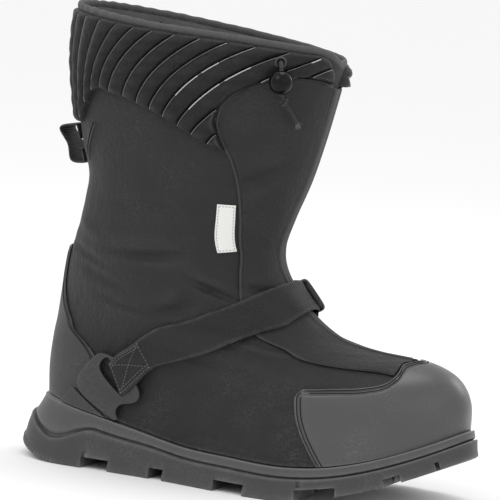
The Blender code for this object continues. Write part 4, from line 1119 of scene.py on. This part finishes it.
def cutFrom(mesh, cutters):
    item = newObject("work", mesh)
    group = bpy.data.collections.new("soleCutters")
    bpy.context.scene.collection.children.link(group)
    for cutter in cutters:
        group.objects.link(bpy.data.objects.new("cutter", cutter))
    step = item.modifiers.new("cut", "BOOLEAN")
    step.operation, step.solver, step.operand_type = "DIFFERENCE", "EXACT", "COLLECTION"
    step.collection = group
    made = plainMesh(item)
    for cutter in list(group.objects):
        bpy.data.objects.remove(cutter)
    bpy.data.collections.remove(group)
    return made


def slotCutters():
    depth = soleLook["lugDepth"]
    cutters = []
    for place, width, slant in lugSlots:
        reach = width / shoe["soleLength"] / 2
        slope = math.atan2(spring(place + reach) - spring(place - reach), width)
        x = place * shoe["soleLength"] - shoe["heelSetback"]
        centre = Vector((x, 0, spring(place)))
        size = (width, 2 * shoe["ballWidth"], 2 * depth)
        cutters.append(boxMesh(size, centre, math.radians(slant), -slope))
        for side in (-1, 1):
            half = abs(float(soleHalf(np.array(place), side, 0.0)))
            shift = math.tan(math.radians(-slant)) * side * half
            corner = Vector((x - width / 2 + soleLook["nickWidth"] / 2 + shift, side * (half + 0.003),
                             spring(place) + depth + soleLook["nick"] / 2))
            cutters.append(boxMesh((soleLook["nickWidth"], 0.012, soleLook["nick"] * 1.2), corner,
                                   math.radians(slant), -slope))
    return cutters


def channelCutters():
    places = np.linspace(0.10, 0.93, 40)
    made = []
    for across in channelPlaces:
        x = places * shoe["soleLength"] - shoe["heelSetback"]
        y = across * shoe["ballWidth"] + swing(places)
        corners = []
        top = soleLook["channelDepth"]
        for offset, level in ((-0.5, -1), (0.5, -1), (0.5, top), (-0.5, top)):
            z = spring(places) + level * soleLook["lugDepth"]
            corners.append(np.stack([x, y + offset * soleLook["channelWidth"], z], -1))
        bars = np.stack(corners, 1)
        last = (len(places) - 1) * 4
        faces = [tuple(f) for f in gridFaces(len(places), 4, True)]
        faces += [(0, 1, 2, 3), (last + 3, last + 2, last + 1, last)]
        made.append(meshFrom("channel", bars, faces))
    return made


def makeOutsole():
    rings = []
    for level, extra in outsoleSide:
        back, front, inset, tip = insetsAt(level, outsoleStops, outsoleRings)
        rings.append(soleRing(back, front, inset, tip, extra, lambda place, level=level: (
            floorHeight(place) + level * (seamHeight(place) - soleLook["gap"] - floorHeight(place)))))
    mesh = cutFrom(ringSolid("outsoleRubber", rings), slotCutters() + channelCutters())
    mesh.name = "outsoleRubber"
    outsole = finishObject(mesh, paint["soleRubber"], 35)
    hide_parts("outsole")


def makeBand():
    rings = []
    for level, extra in bandSide:
        back, front, inset, tip = insetsAt(level, bandStops, midsoleRings)
        rings.append(soleRing(back, front, inset, tip, extra, lambda place, level=level: (
            seamHeight(place) + level * (featherHeight(place) - seamHeight(place)))))
    band = finishObject(ringSolid("midsoleBand", rings), paint["bandRubber"], 50)
    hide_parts("midsole")
    edge = [rings[-3]]
    tubes("midsoleEdge", edge, soleLook["bandEdge"], paint["bandEdge"], "sole_rubber", sides=6, cyclic=True)


# Serrations: start and end round the outline in degrees, how many, height from, height to, inset
serrations = [
    ("heelSerration", -40.0, 40.0, 44, 0.01, 0.17, 0.0006),
    ("toeSerrationOuter", -145.4, -141.0, 9, 0.10, 0.66, 0.0036),
    ("toeSerrationInner", 131.2, 135.6, 9, 0.10, 0.66, 0.0036),
]


def makeSerrations():
    for name, low, high, count, bottom, top, sunk in serrations:
        lines = []
        for turn in np.radians(np.linspace(low, high, count)):
            place, side = placeOf(turn), sideOf(turn)
            line = []
            for level in np.linspace(bottom, top, 5):
                back, front, inset = insetsAt(level, outsoleStops, outsoleRings)[:3]
                x = back + place * (shoe["soleLength"] - back - front)
                y = soleHalf(place, side, inset + sunk)
                z = floorHeight(place) + level * (seamHeight(place) - floorHeight(place))
                line.append((float(x) - shoe["heelSetback"], float(y), float(z)))
            lines.append(line)
        tubes(name, lines, soleLook["ribRadius"], paint["anchorRubber"], "sole_rubber", sides=6)


makeOutsole()
makeBand()
makeSerrations()
for face in frame["nodes"]["insole"].material_slots:
    face.material = paint["felt"]
print("sole made")


# Shell with its lining, the quilted cuff and the hem of the collar

shellLook = {"around": 320, "levels": 226, "liningLevels": 68, "liningPuff": 0.0018, "liningSeams": 14,
             "liningTop": 0.55, "liningSeam": 0.00045, "seamFrom": 0.70, "seamTo": 0.992,
             "legMiddle": (0.055, 0.0), "liningFloor": 0.14, "liningPressed": 0.3}


def makeShell():
    turns = np.linspace(-math.pi, math.pi, shellLook["around"], endpoint=False)
    share, turn = gridOf(np.linspace(0, 1, shellLook["levels"]), turns)
    outer, cloth = surface(share, turn), clothUv(share, turn)
    share, turn = gridOf(np.linspace(0, 1, shellLook["liningLevels"]), turns)
    puff = shellLook["liningPuff"] * np.abs(np.sin(turn * shellLook["liningSeams"] / 2)) ** 0.5
    puff = puff * ease((share - shellLook["liningTop"]) / 0.1) * ease((1 - share) / 0.02)
    inner = surface(share, turn, -layers["wall"] - puff, shellLook["liningPressed"])
    for layer in (outer, inner):
        place = (layer[0, :, 0] + shoe["heelSetback"]) / shoe["soleLength"]
        layer[0, :, 2] = featherHeight(place) + layers["lay"]
    columns, count = shellLook["around"], shellLook["around"] * shellLook["levels"]
    faces = [gridFaces(shellLook["levels"], columns, True),
             gridFaces(shellLook["liningLevels"], columns, True, count)[:, ::-1]]
    j = np.arange(columns)
    k = (j + 1) % columns
    for row, under in ((0, 0), (shellLook["levels"] - 1, shellLook["liningLevels"] - 1)):
        low, high = row * columns, count + under * columns
        faces.append(np.stack([low + j, low + k, high + k, high + j], -1))
    points = np.concatenate([outer.reshape(-1, 3), inner.reshape(-1, 3)])
    cloth = np.concatenate([cloth.reshape(-1, 2), clothUv(share, turn).reshape(-1, 2)])
    mesh = meshFrom("shellNylon", points, np.concatenate(faces), cloth)
    body = finishObject(mesh, paint["nylon"])
    mesh.materials.append(paint["lining"])
    centres = np.array([face.center[:] for face in mesh.polygons])
    normals = np.array([face.normal[:] for face in mesh.polygons])
    facing = np.sum((centres[:, :2] - np.array(shellLook["legMiddle"])) * normals[:, :2], axis=1)
    index = np.where((facing < 0) & (centres[:, 2] > shellLook["liningFloor"]), 1, 0)
    mesh.polygons.foreach_set("material_index", index.astype(int))
    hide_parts("upper")
    lines = []
    at = np.linspace(shellLook["seamFrom"], shellLook["seamTo"], 50)
    for number in range(shellLook["liningSeams"]):
        turn = 2 * math.pi * number / shellLook["liningSeams"]
        lines.append(surface(at, turn, -layers["wall"] - 0.0001, shellLook["liningPressed"]))
    tubes("liningSeams", lines, shellLook["liningSeam"], paint["seamShadow"], "nylon", sides=6)


# Grooves of the quilted cuff
cuffGrooves = [
    # number, low turn, low share, high turn, high share
    (0, 0.0, 0.828, 0.0, 1.000), (2, 17.0, 0.829, 19.0, 1.000), (4, 33.0, 0.832, 40.2, 1.000),
    (5, 41.0, 0.862, 51.8, 1.000), (6, 48.0, 0.885, 62.5, 1.000), (7, 54.5, 0.893, 71.8, 1.000),
    (8, 60.5, 0.890, 80.5, 1.000), (9, 68.5, 0.887, 90.5, 1.000), (10, 75.5, 0.881, 101.5, 1.000),
    (11, 82.0, 0.875, 113.0, 1.000), (12, 88.2, 0.867, 125.0, 1.000),
    (13, 95.2, 0.856, 141.0, 1.000), (14, 101.8, 0.845, 160.0, 1.000),
    (15, 109.5, 0.833, 170.0, 0.985), (16, 119.0, 0.826, 175.0, 0.945),
    (17, 130.0, 0.822, 175.0, 0.895), (18, 143.0, 0.820, 175.0, 0.855),
]
cuffLook = {"bend": 1.5, "groove": 0.0008, "crest": 0.0056, "across": 16, "up": 70, "pipingShift": 0.07,
            "pipingRadius": 0.00040, "pucker": 0.0003, "backPuff": 0.35, "puffReach": 8,
            "paintedGlintRadius": 0.00042, "paintedGlintLift": 0.0002, "footFade": 0.10, "topFade": 0.14,
            "puckers": 38, "tuck": 0.0004, "underPanel": 0.0006, "underCuff": 0.0010}
# Stretches of piping painted pale as glints of light: groove, from, to
paintedGlintPiping = [(12, 0.28, 0.52), (12, 0.56, 0.70), (13, 0.22, 0.50), (13, 0.54, 0.72), (14, 0.90, 0.96)]


def groovePoint(number, rise):
    ends = [fromTable(cuffGrooves, number, i) for i in range(1, 5)]
    lowTurn, lowShare, highTurn, highShare = ends
    turn = lowTurn + (highTurn - lowTurn) * rise ** cuffLook["bend"]
    return lowShare + (highShare - lowShare) * rise, turn


# How far a spot is inside the front panels, from 0 outside to 1 well inside
def panelRoom(share, degrees):
    edge = straight(panelBackEdge, share)
    room = ease((np.abs(degrees) - edge + 0.7) / 0.9)
    return room * ease((panelBackEdge[-1][0] + 0.006 - share) / 0.006)


def cuffLift(number, rise, share, degrees):
    phase = np.abs(np.sin(number * math.pi))
    fade = 0.25 + 0.75 * np.sqrt(ease(rise / cuffLook["footFade"]))
    fade = fade * (0.35 + 0.65 * np.sqrt(ease((1 - rise) / cuffLook["topFade"])))
    puff = cuffLook["backPuff"] + (1 - cuffLook["backPuff"]) * ease(np.abs(number) / cuffLook["puffReach"])
    crest = (cuffLook["crest"] - cuffLook["groove"]) * phase**0.5 * fade * puff
    shift = np.floor(number + 0.001) * 2.1      # no two channels pucker alike
    pucker = cuffLook["pucker"] * np.sin(rise * cuffLook["puckers"] + shift) * phase * fade
    ends = ease(rise / 0.03) * ease((1 - rise) / 0.02)
    tuck = cuffLook["tuck"]
    lift = tuck + ends * (layers["cuff"] + cuffLook["groove"] - tuck + crest + pucker)
    room = panelRoom(share, degrees)
    return lift * (1 - room) - cuffLook["underPanel"] * room


def makeCuff():
    last = cuffGrooves[-1][0]
    numbers = np.linspace(-last, last, 2 * last * cuffLook["across"] + 1)
    rise, number = gridOf(np.linspace(0, 1, cuffLook["up"]), numbers)
    share, degrees = groovePoint(np.abs(number), rise)
    share = np.clip(share, 0, 1)
    turn = np.radians(np.where(number < 0, -degrees, degrees))
    outer = surface(share, turn, cuffLift(number, rise, share, degrees))
    inner = surface(share, turn, -cuffLook["underCuff"])
    mesh = shell("cuffQuilt", outer, inner, clothUv(share, turn))
    cuff = finishObject(mesh, paint["quilt"], 60)
    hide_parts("cuff")
    lines = []
    path = np.linspace(0.03, 0.97, 90)
    for index in range(-last + 1, last):
        at = np.full(path.shape, abs(index) + cuffLook["pipingShift"])
        s, d = groovePoint(at, path)
        points = surface(s, np.radians(-d if index < 0 else d), cuffLift(at, path, s, d))
        free = np.concatenate([[0], (panelRoom(s, d) < 0.05).astype(int), [0]])
        starts, ends = np.where(np.diff(free) == 1)[0], np.where(np.diff(free) == -1)[0]
        lines += [points[a:b] for a, b in zip(starts, ends) if b - a > 5]
    tubes("cuffPiping", lines, cuffLook["pipingRadius"], paint["piping"], "quilted_nylon", sides=6)
    # Pale tubes laid over the piping: painted glints of light on the front grooves
    lines = []
    for index, low, high in paintedGlintPiping:
        path = np.linspace(low, high, 40)
        at = np.full(path.shape, index + cuffLook["pipingShift"])
        s, d = groovePoint(at, path)
        lines.append(surface(s, np.radians(-d), cuffLift(at, path, s, d) + cuffLook["paintedGlintLift"]))
    radius = cuffLook["paintedGlintRadius"]
    tubes("cuffPipingPaintedGlint", lines, radius, paint["pipingPaintedGlint"], "quilted_nylon", sides=6)


rimLook = {"around": 420, "sides": 14, "thick": 0.0017, "tall": 0.0029, "drop": 0.0008, "pucker": 0.0006,
           "puckers": 96, "leastPucker": 0.15, "wobble": 0.4, "tuck": 0.0004, "pressed": 0.3}


def makeRim():
    turns = np.linspace(-math.pi, math.pi, rimLook["around"], endpoint=False)
    top = np.ones(rimLook["around"])
    edge = surface(top, turns, -rimLook["tuck"], rimLook["pressed"])
    outward = surface(top, turns, 0.01, 0.0) - surface(top, turns, 0.0, 0.0)
    outward[:, 2] = 0
    outward = unit(outward)
    nearBack = rimLook["leastPucker"] + (1 - rimLook["leastPucker"]) * np.cos(turns / 2) ** 4
    wobble = rimLook["wobble"] * np.sin(turns * 17) * np.sin(turns * 5)
    wave = rimLook["pucker"] * (np.sin(turns * rimLook["puckers"] / 2) * nearBack + wobble)
    around = circle(rimLook["sides"])
    rows = []
    for angle in around:
        out = rimLook["thick"] * math.cos(angle)
        up = rimLook["tall"] * math.sin(angle) + rimLook["tall"] - rimLook["drop"]
        rows.append(edge + outward * (out + wave * (0.5 + 0.5 * math.cos(angle)))[:, None]
                    + np.array([0, 0, 1.0]) * (up + wave * 0.5)[:, None])
    points = np.array(rows + rows[:1])
    uv = gridUv(turns * 0.065, (np.arange(len(points)) * 0.001)[:, None])
    rim = finishObject(meshFrom("rimHem", points, gridFaces(len(points), rimLook["around"], True), uv),
                       paint["hem"])
    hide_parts("rim_binding")


panelBackEdge = [
    (0.192, 147.2), (0.207, 142.5), (0.225, 131.5), (0.245, 122.5), (0.30, 117.5), (0.37, 115.0),
    (0.44, 121.0), (0.51, 129.0), (0.56, 136.5), (0.62, 142.0), (0.68, 139.0), (0.74, 133.0),
    (0.78, 127.5), (0.815, 122.0), (0.845, 115.5), (0.875, 111.8), (0.897, 113.2), (0.915, 117.5),
    (0.930, 124.5), (0.942, 134.5), (0.950, 146.0),
]
panelFrontEdge = [
    (0.192, 148.0), (0.207, 151.0), (0.225, 154.5), (0.245, 160.0), (0.258, 172.5), (0.30, 175.4),
    (0.950, 175.4),
]
# Stitched fold running down from the cuff: share, turn at its top and its foot
shaftFold = {"top": (0.834, -46.8), "foot": (0.752, -33.6), "radius": 0.0007, "seam": 0.00035, "beside": 1.6}


def makeShaftFold():
    t = np.linspace(0, 1, 60)
    share = shaftFold["top"][0] + (shaftFold["foot"][0] - shaftFold["top"][0]) * t
    turn = shaftFold["top"][1] + (shaftFold["foot"][1] - shaftFold["top"][1]) * t
    lines, shadows = [], []
    for side in (1, -1):
        lines.append(surface(share, np.radians(side * turn), 0.0001))
        shadows.append(surface(share, np.radians(side * (turn + shaftFold["beside"])), 0.0001))
    tubes("shaftFoldPiping", lines, shaftFold["radius"], paint["edging"], "nylon", sides=8)
    tubes("shaftFoldSeam", shadows, shaftFold["seam"], paint["seamShadow"], "nylon", sides=6)


makeShell()
makeShaftFold()
makeCuff()
makeRim()
print("shell made")


# What is sewn on the shell: cap, counter, wedges, panels, fold, label

capRear = [
    (0.00, 118.0), (0.20, 115.5), (0.45, 113.0), (0.75, 112.0), (0.92, 113.2), (1.00, 115.5),
]
capTop = [
    # turn, share
    (112, 0.158), (125, 0.161), (136, 0.161), (143, 0.168), (149, 0.190), (156, 0.226),
    (163, 0.240), (180, 0.243),
]
counterEdge = [
    (0.00, 55.0), (0.06, 51.0), (0.13, 46.0), (0.16, 41.0), (0.19, 35.5), (0.23, 31.5),
    (0.27, 24.5), (0.33, 18.0), (0.40, 14.8), (0.46, 15.8),
]
labelCorners = [(0.732, 121.5), (0.736, 131.9), (0.632, 140.0), (0.617, 127.5)]
wedgeCorners = [(0.002, 31.0), (0.002, 52.5), (0.043, 38.0)]
seam = {"spacing": 0.0031, "length": 0.0023, "thickness": 0.00055}
fineSeam = {"spacing": 0.0022, "length": 0.0016, "thickness": 0.00042}
capLook = {"round": ("left", "right", "high"), "radius": 0.0010,
           "lines": [(("left", "right", "high"), 0.0014, 0.0011, 0.0006),
                     (("left", "right", "high"), 0.0029, 0.0007, -0.0005),
                     (("left", "right", "high"), 0.0058, 0.0007, -0.0005)],
           "seams": (0.0029, 0.0058), "seamRadius": 0.00038}
counterLook = {"round": ("left", "right", "high"), "radius": 0.0009,
               "lines": [(("left", "right", "high"), 0.0024, 0.0006, -0.0004),
                         (("left", "right", "high"), 0.0046, 0.0006, -0.0004)],
               "seams": (0.0024, 0.0046), "seamRadius": 0.00034}
wedgeLook = {"round": ("left", "right", "high"), "radius": 0.0009}
panelLook = {"round": ("left", "high", "low"), "radius": 0.0008, "seam": 0.0022, "edgeInset": 0.0003,
             "edgeRadius": 0.00042,
             "lines": [(("left", "high"), 0.0008, 0.0006, 0.0006),
                       (("left", "high"), 0.0021, 0.0005, -0.0004)]}


def sewSeams(name, points, look, slotName):
    lines = sewnLines(points, look["round"], look["seams"])
    tubes(name + "Seams", lines, look["seamRadius"], paint["seamShadow"], slotName, sides=6)
    stitches(name + "Stitches", lines, seam, paint["thread"])


def makeCap():
    rise, v = gridOf(np.linspace(0, 1, 84) ** 0.9, np.linspace(-1, 1, 240))
    rear = fromTable(capRear, rise)
    degrees = 180 + (180 - rear) * v
    share = rise * fromTable(capTop, 180 - np.abs(degrees - 180))
    points, mesh = overlay("toeCapRubber", share, np.radians(degrees), layers["lay"],
                           layers["overlay"], capLook)
    cap = finishObject(mesh, paint["capRubber"])
    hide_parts("toe_cap")
    sewSeams("toeCap", points, capLook, "smooth_rubber")


def makeCounter():
    rise = np.linspace(0, counterEdge[-1][0], 120)
    share, v = gridOf(rise, np.linspace(-1, 1, 120))
    turn = np.radians(v * fromTable(counterEdge, share))
    points, mesh = overlay("heelCounterRubber", share, turn, layers["lay"], layers["overlay"], counterLook)
    counter = finishObject(mesh, paint["counterRubber"])
    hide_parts("heel_counter")
    sewSeams("heelCounter", points, counterLook, "grained_rubber")
    back, front = wedgeCorners[0][1], wedgeCorners[1][1]
    height, peak = wedgeCorners[2]
    for name, side in bothSides:
        t, v = gridOf(np.linspace(0, 0.94, 40), np.linspace(0, 1, 40))
        turn = (1 - t) * (back + (front - back) * v) + t * peak
        mesh = overlay("heelWedge" + name, t * height, np.radians(side * turn),
                       2 * layers["lay"] + layers["overlay"], layers["overlay"], wedgeLook)[1]
        wedge = finishObject(mesh, paint["anchorRubber"])
        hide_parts("heel_wedge_" + name.lower())


def makePanels():
    low, high = panelBackEdge[0][0], panelBackEdge[-1][0]
    for name, side in bothSides:
        share, v = gridOf(np.linspace(low, high, 230), np.linspace(0, 1, 76))
        back, front = fromTable(panelBackEdge, share), straight(panelFrontEdge, share)
        turn = np.radians(side * (back + (front - back) * v))
        points, mesh = overlay("frontPanel" + name, share, turn, layers["lay"], layers["panel"], panelLook)
        panel = finishObject(mesh, paint["nylon"])
        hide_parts("front_panel_" + name.lower())
        lines = [insetLine(points, "left", panelLook["seam"])]
        stitches("frontPanelStitches" + name, lines, fineSeam, paint["thread"])
        edges = [insetLine(points, side, panelLook["edgeInset"]) for side in ("left", "high")]
        radius = panelLook["edgeRadius"]
        tubes("frontPanelPiping" + name, edges, radius, paint["edging"], "nylon", sides=6)


foldLook = {"start": 0.27, "end": 0.950, "turn": 3.4, "round": ("left", "right"), "radius": 0.0010,
            "seam": 0.0020,
            "lines": [(("left", "right"), 0.0020, 0.0005, -0.0005)]}


def makeFold():
    rise = np.linspace(foldLook["start"], foldLook["end"], 240)
    share, v = gridOf(rise, np.linspace(-1, 1, 24))
    turn = np.radians(180 + foldLook["turn"] * v)
    points, mesh = overlay("closureFoldNylon", share, turn, layers["lay"], layers["fold"], foldLook)
    fold = finishObject(mesh, paint["hem"])
    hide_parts("closure_fold")
    lines = [insetLine(points, side, foldLook["seam"]) for side in ("left", "right")]
    stitches("closureFoldStitches", lines, fineSeam, paint["thread"])


labelLook = {"round": ("left", "right", "high", "low"), "radius": 0.0005, "thick": 0.0006, "seam": 0.0016,
             "lines": [(("left", "right", "high", "low"), 0.0016, 0.0004, -0.00025)]}


def makeLabel():
    a, b, c, d = [np.array(corner) for corner in labelCorners]
    t, v = gridOf(np.linspace(0, 1, 70), np.linspace(0, 1, 40))
    top, bottom = a + (b - a) * v[..., None], d + (c - d) * v[..., None]
    spot = top + (bottom - top) * t[..., None]
    turn = np.radians(-spot[..., 1])
    points, mesh = overlay("sideLabel", spot[..., 0], turn, layers["lay"], labelLook["thick"], labelLook)
    label = finishObject(mesh, paint["labelCloth"])
    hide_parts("label")
    lines = [insetLine(points, side, labelLook["seam"]) for side in labelLook["round"]]
    stitches("sideLabelStitches", lines, fineSeam, paint["piping"])


makeCap()
makeCounter()
makePanels()
makeFold()
makeLabel()
print("overlays made")


# Instep strap with its moulded anchors, and the pull loop

anchorOutline = [
    (0.004, 54.5), (0.048, 38.0), (0.128, 47.6), (0.146, 51.0), (0.140, 56.5), (0.128, 59.8),
    (0.088, 64.2), (0.070, 64.4), (0.055, 62.8), (0.045, 58.5), (0.036, 56.9), (0.022, 56.0),
    (0.005, 57.2),
]
anchorSlot = [
    (0.136, 52.6), (0.120, 50.4), (0.104, 49.8), (0.088, 51.8), (0.066, 56.8), (0.058, 59.75),
    (0.136, 54.25),
]
strapEdges = [
    # top share, top turn, bottom share, bottom turn
    (0.130, 53.4, 0.066, 57.9), (0.130, 54.8, 0.066, 59.3), (0.170, 59.0, 0.096, 63.5),
    (0.245, 68.8, 0.148, 70.3), (0.300, 77.5, 0.196, 80.5), (0.352, 87.8, 0.242, 91.8),
    (0.395, 96.5, 0.305, 103.5), (0.435, 105.2, 0.365, 114.0), (0.475, 117.0, 0.415, 126.0),
    (0.508, 129.0, 0.453, 140.0), (0.535, 144.0, 0.480, 153.0), (0.552, 161.0, 0.495, 166.0),
    (0.557, 171.0, 0.500, 173.0), (0.560, 180.0, 0.502, 180.0),
]
strapLook = {"onAnchor": 3, "onFold": 11, "across": 28, "along": 420, "width": 0.0255, "edge": 0.0007,
             "boxFrom": 0.004, "boxTo": 0.034, "boxEdge": 0.09, "boxInner": 0.17, "pressed": 0.15,
             "boxSeam": {"spacing": 0.0024, "length": 0.0020, "thickness": 0.00075}}
anchorLook = {"bevel": 0.0006, "roundings": 3, "step": 0.0022}


def roundedOutline(corners, times):
    across, up = creaseScale
    points = np.array([(math.radians(turn) * across, share * up) for share, turn in corners])
    while times > 0:      # each round cuts the corners off the outline
        after = np.roll(points, -1, axis=0)
        points = np.stack([0.75 * points + 0.25 * after, 0.25 * points + 0.75 * after], 1).reshape(-1, 2)
        times -= 1
    return points


def makeAnchors():
    across, up = creaseScale
    curve = bpy.data.curves.new("anchorPlate", "CURVE")
    curve.dimensions, curve.fill_mode = "2D", "BOTH"
    curve.extrude = layers["anchor"] / 2 - anchorLook["bevel"]
    curve.bevel_depth, curve.bevel_resolution = anchorLook["bevel"], 3
    curve.offset = -anchorLook["bevel"]
    for outline in (anchorOutline, anchorSlot):
        corners = roundedOutline(outline, anchorLook["roundings"])
        addLine(curve, [(*corner, 0.0) for corner in corners], True)
    plate = plainMesh(newObject("anchorPlate", curve))
    work = bmesh.new()
    work.from_mesh(plate)
    bmesh.ops.remove_doubles(work, verts=work.verts, dist=1e-6)
    low = np.array([v.co[:] for v in work.verts]).min(0)
    high = np.array([v.co[:] for v in work.verts]).max(0)
    for axis in (0, 1):
        normal = [0.0, 0.0, 0.0]
        normal[axis] = 1.0
        for at in np.arange(low[axis] + anchorLook["step"], high[axis], anchorLook["step"]):
            everything = work.verts[:] + work.edges[:] + work.faces[:]
            place = [0.0, 0.0, 0.0]
            place[axis] = at
            bmesh.ops.bisect_plane(work, geom=everything, plane_co=place, plane_no=normal)
    work.to_mesh(plate)
    work.free()
    base = 2 * layers["lay"] + layers["overlay"] + layers["anchor"] / 2
    places = np.array([v.co[:] for v in plate.vertices])
    for name, side in bothSides:
        points = surface(places[:, 1] / up, side * places[:, 0] / across, base + places[:, 2], 0.0)
        faces = [tuple(face.vertices) for face in plate.polygons]
        mesh = meshFrom("strapAnchor" + name, points, faces)
        anchor = finishObject(mesh, paint["anchorRubber"], 50)
        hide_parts("strap_anchor_" + name.lower())


def makeStrap():
    steps = np.arange(len(strapEdges))
    plate = 2 * layers["lay"] + layers["overlay"] + layers["anchor"]
    low = np.where(steps < strapLook["onAnchor"], plate + layers["lay"], 3 * layers["lay"] + layers["panel"])
    low = np.where(steps >= strapLook["onFold"], 4 * layers["lay"] + layers["fold"], low)
    low[0] -= layers["lay"] + layers["anchor"] / 2
    rows = np.concatenate([np.array(strapEdges), low[:, None]], 1)
    mirrored = rows[-2::-1].copy()
    mirrored[:, [1, 3]] = 360 - mirrored[:, [1, 3]]
    path = np.concatenate([rows, mirrored])
    order = np.arange(len(path))
    at = np.linspace(0, len(path) - 1, strapLook["along"])
    topShare, topTurn, bottomShare, bottomTurn, base = [smooth(order, path[:, k], at) for k in range(5)]
    i, v = gridOf(np.arange(len(at)), np.linspace(0, 1, strapLook["across"]))
    share = topShare[i] + (bottomShare - topShare)[i] * v
    turn = -np.radians(topTurn[i] + (bottomTurn - topTurn)[i] * v)
    under = surface(share, turn, base[i], strapLook["pressed"])
    reach = borderDistances(under)
    height = layers["strap"] * rolled(np.minimum(reach["left"], reach["right"]) / strapLook["edge"], 0.3)
    over = surface(share, turn, base[i] + height, strapLook["pressed"])
    run = runs(under, 0).mean(1)
    uv = gridUv(run[:, None], v * strapLook["width"])
    strap = finishObject(shell("instepWebbing", over, under, uv), paint["webbing"])
    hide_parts("instep_strap")
    lines = []
    start, end = strapLook["boxFrom"], strapLook["boxTo"]
    edge, inner = strapLook["boxEdge"], strapLook["boxInner"]
    t = np.linspace(0, 1, 60)
    corners = ((start, edge, end, edge), (start, 1 - edge, end, 1 - edge),
               (start, edge, start, 1 - edge), (end, edge, end, 1 - edge),
               (start, edge, end, 1 - edge), (start, 1 - edge, end, edge),
               (start, inner, end, inner), (start, 1 - inner, end, 1 - inner))
    for s0, v0, s1, v1 in corners:
        for far in (False, True):
            at = s0 + (s1 - s0) * t
            row = np.interp(run[-1] - at if far else at, run, np.arange(len(run)))
            spot = (v0 + (v1 - v0) * t) * (strapLook["across"] - 1)
            i, j = np.floor(row).astype(int), np.clip(np.floor(spot).astype(int), 0, strapLook["across"] - 2)
            a, b = (row - i)[:, None], (spot - j)[:, None]
            lines.append((1 - a) * ((1 - b) * over[i, j] + b * over[i, j + 1])
                         + a * ((1 - b) * over[i + 1, j] + b * over[i + 1, j + 1]))
    stitches("strapBoxStitches", lines, strapLook["boxSeam"], paint["boxThread"])
    makeBuckle(over, run)


# Half-length along the strap, half-width, and the frame's own sizes
buckleLook = {"length": 0.0125, "width": 0.0150, "rim": 0.0036, "rise": 0.0026, "lift": 0.0016,
              "roundness": 0.62, "bar": 0.0017, "barShift": 0.0022}


# A rounded frame with a bar across, bent over the strap where the buckle of the part lies
def makeBuckle(over, run):
    low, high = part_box("strap_buckle")
    middle = over[:, over.shape[1] // 2]
    centre = (np.array(low) + np.array(high)) / 2
    at = run[np.argmin(np.linalg.norm(middle - centre, axis=1))]

    def onStrap(along, across, height):
        row = np.interp(at + along, run, np.arange(len(run)))
        i = np.clip(np.floor(row).astype(int), 1, len(run) - 3)
        t = (row - i)[..., None]
        left = (1 - t) * over[i, 0] + t * over[i + 1, 0]
        right = (1 - t) * over[i, -1] + t * over[i + 1, -1]
        side = unit(right - left)
        near, far = np.clip(i - 6, 0, None), np.clip(i + 7, None, len(run) - 1)
        way = over[far, over.shape[1] // 2] - over[near, over.shape[1] // 2]
        out = unit(np.cross(way, side))
        out *= np.sign(np.sum(out * (left - np.array([0.06, 0, left[..., 2].mean()])), -1, keepdims=True))
        return (left + right) / 2 + side * across[..., None] + out * height[..., None]

    turns = circle(96)
    section = circle(20)
    s, phi = gridOf(section, turns)
    power = buckleLook["roundness"]
    reach = buckleLook["rim"] * np.cos(s) / 2 - buckleLook["rim"] / 2
    along = (buckleLook["length"] + reach) * np.sign(np.cos(phi)) * np.abs(np.cos(phi)) ** power
    across = (buckleLook["width"] + reach) * np.sign(np.sin(phi)) * np.abs(np.sin(phi)) ** power
    height = buckleLook["lift"] + buckleLook["rise"] * (0.5 + np.sin(s))
    points = onStrap(along, across, height)
    points = np.concatenate([points, points[:1]])
    mesh = meshFrom("buckleFrame", points, gridFaces(len(points), len(turns), True))
    rim = finishObject(mesh, paint["bucklePlastic"])
    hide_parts("strap_buckle")
    v = np.linspace(-1, 1, 30) * (buckleLook["width"] - buckleLook["rim"] / 2)
    bars = [onStrap(np.full(v.shape, x), v, np.full(v.shape, buckleLook["lift"] + buckleLook["rise"] / 2))
            for x in (-buckleLook["barShift"], buckleLook["barShift"])]
    tubes("buckleBars", bars, buckleLook["bar"], paint["bucklePlastic"], "gloss_plastic", sides=12)


loopPath = [
    # share of the loop's height, distance from the leg
    (0.63, 0.0), (0.93, 0.0005), (1.00, 0.0030), (0.87, 0.0150), (0.45, 0.0105), (0.04, 0.0110),
    (0.00, 0.0030), (0.07, 0.0005), (0.37, 0.0),
]
loopLook = {"top": 0.742, "bottom": 0.660, "width": 0.025, "thickness": 0.0015, "lay": 0.0008}


def backX(height):
    line = surface(np.linspace(0, 1, 300), 0.0, 0.0, 0.0)
    return float(np.interp(height, line[:, 2], line[:, 0]))


def makeLoop():
    top, bottom = loopLook["top"] * shoe["shaftHeight"], loopLook["bottom"] * shoe["shaftHeight"]
    line = []
    for share, distance in loopPath:
        z = bottom + share * (top - bottom)
        line.append((backX(z) - loopLook["lay"] - loopLook["thickness"] / 2 - distance, z))
    line = np.array(line)
    order = np.arange(len(line))
    fine = np.linspace(0, len(line) - 1, 120)
    path = np.stack([smooth(order, line[:, k], fine) for k in range(2)], 1)
    tangent = unit(np.gradient(path, axis=0))
    normal = np.stack([-tangent[:, 1], tangent[:, 0]], 1)
    v = np.linspace(-0.5, 0.5, 24)
    roll = np.sqrt(1 - np.clip(np.abs(v) * 2 - 0.92, 0, 0.08) ** 2 / 0.08**2 * 0.7)
    sides = []
    for sign in (-0.5, 0.5):
        grid = np.empty((len(path), len(v), 3))
        for j, place in enumerate(v):
            edge = path + normal * loopLook["thickness"] * sign * roll[j]
            grid[:, j, 0], grid[:, j, 1], grid[:, j, 2] = edge[:, 0], place * loopLook["width"], edge[:, 1]
        sides.append(grid)
    run = runs(path, 0)
    uv = gridUv(run[:, None], v * loopLook["width"])
    loop = finishObject(shell("pullLoopWebbing", sides[0], sides[1], uv), paint["webbing"])
    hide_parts("pull_loop")


makeAnchors()
makeStrap()
makeLoop()
print("straps made")
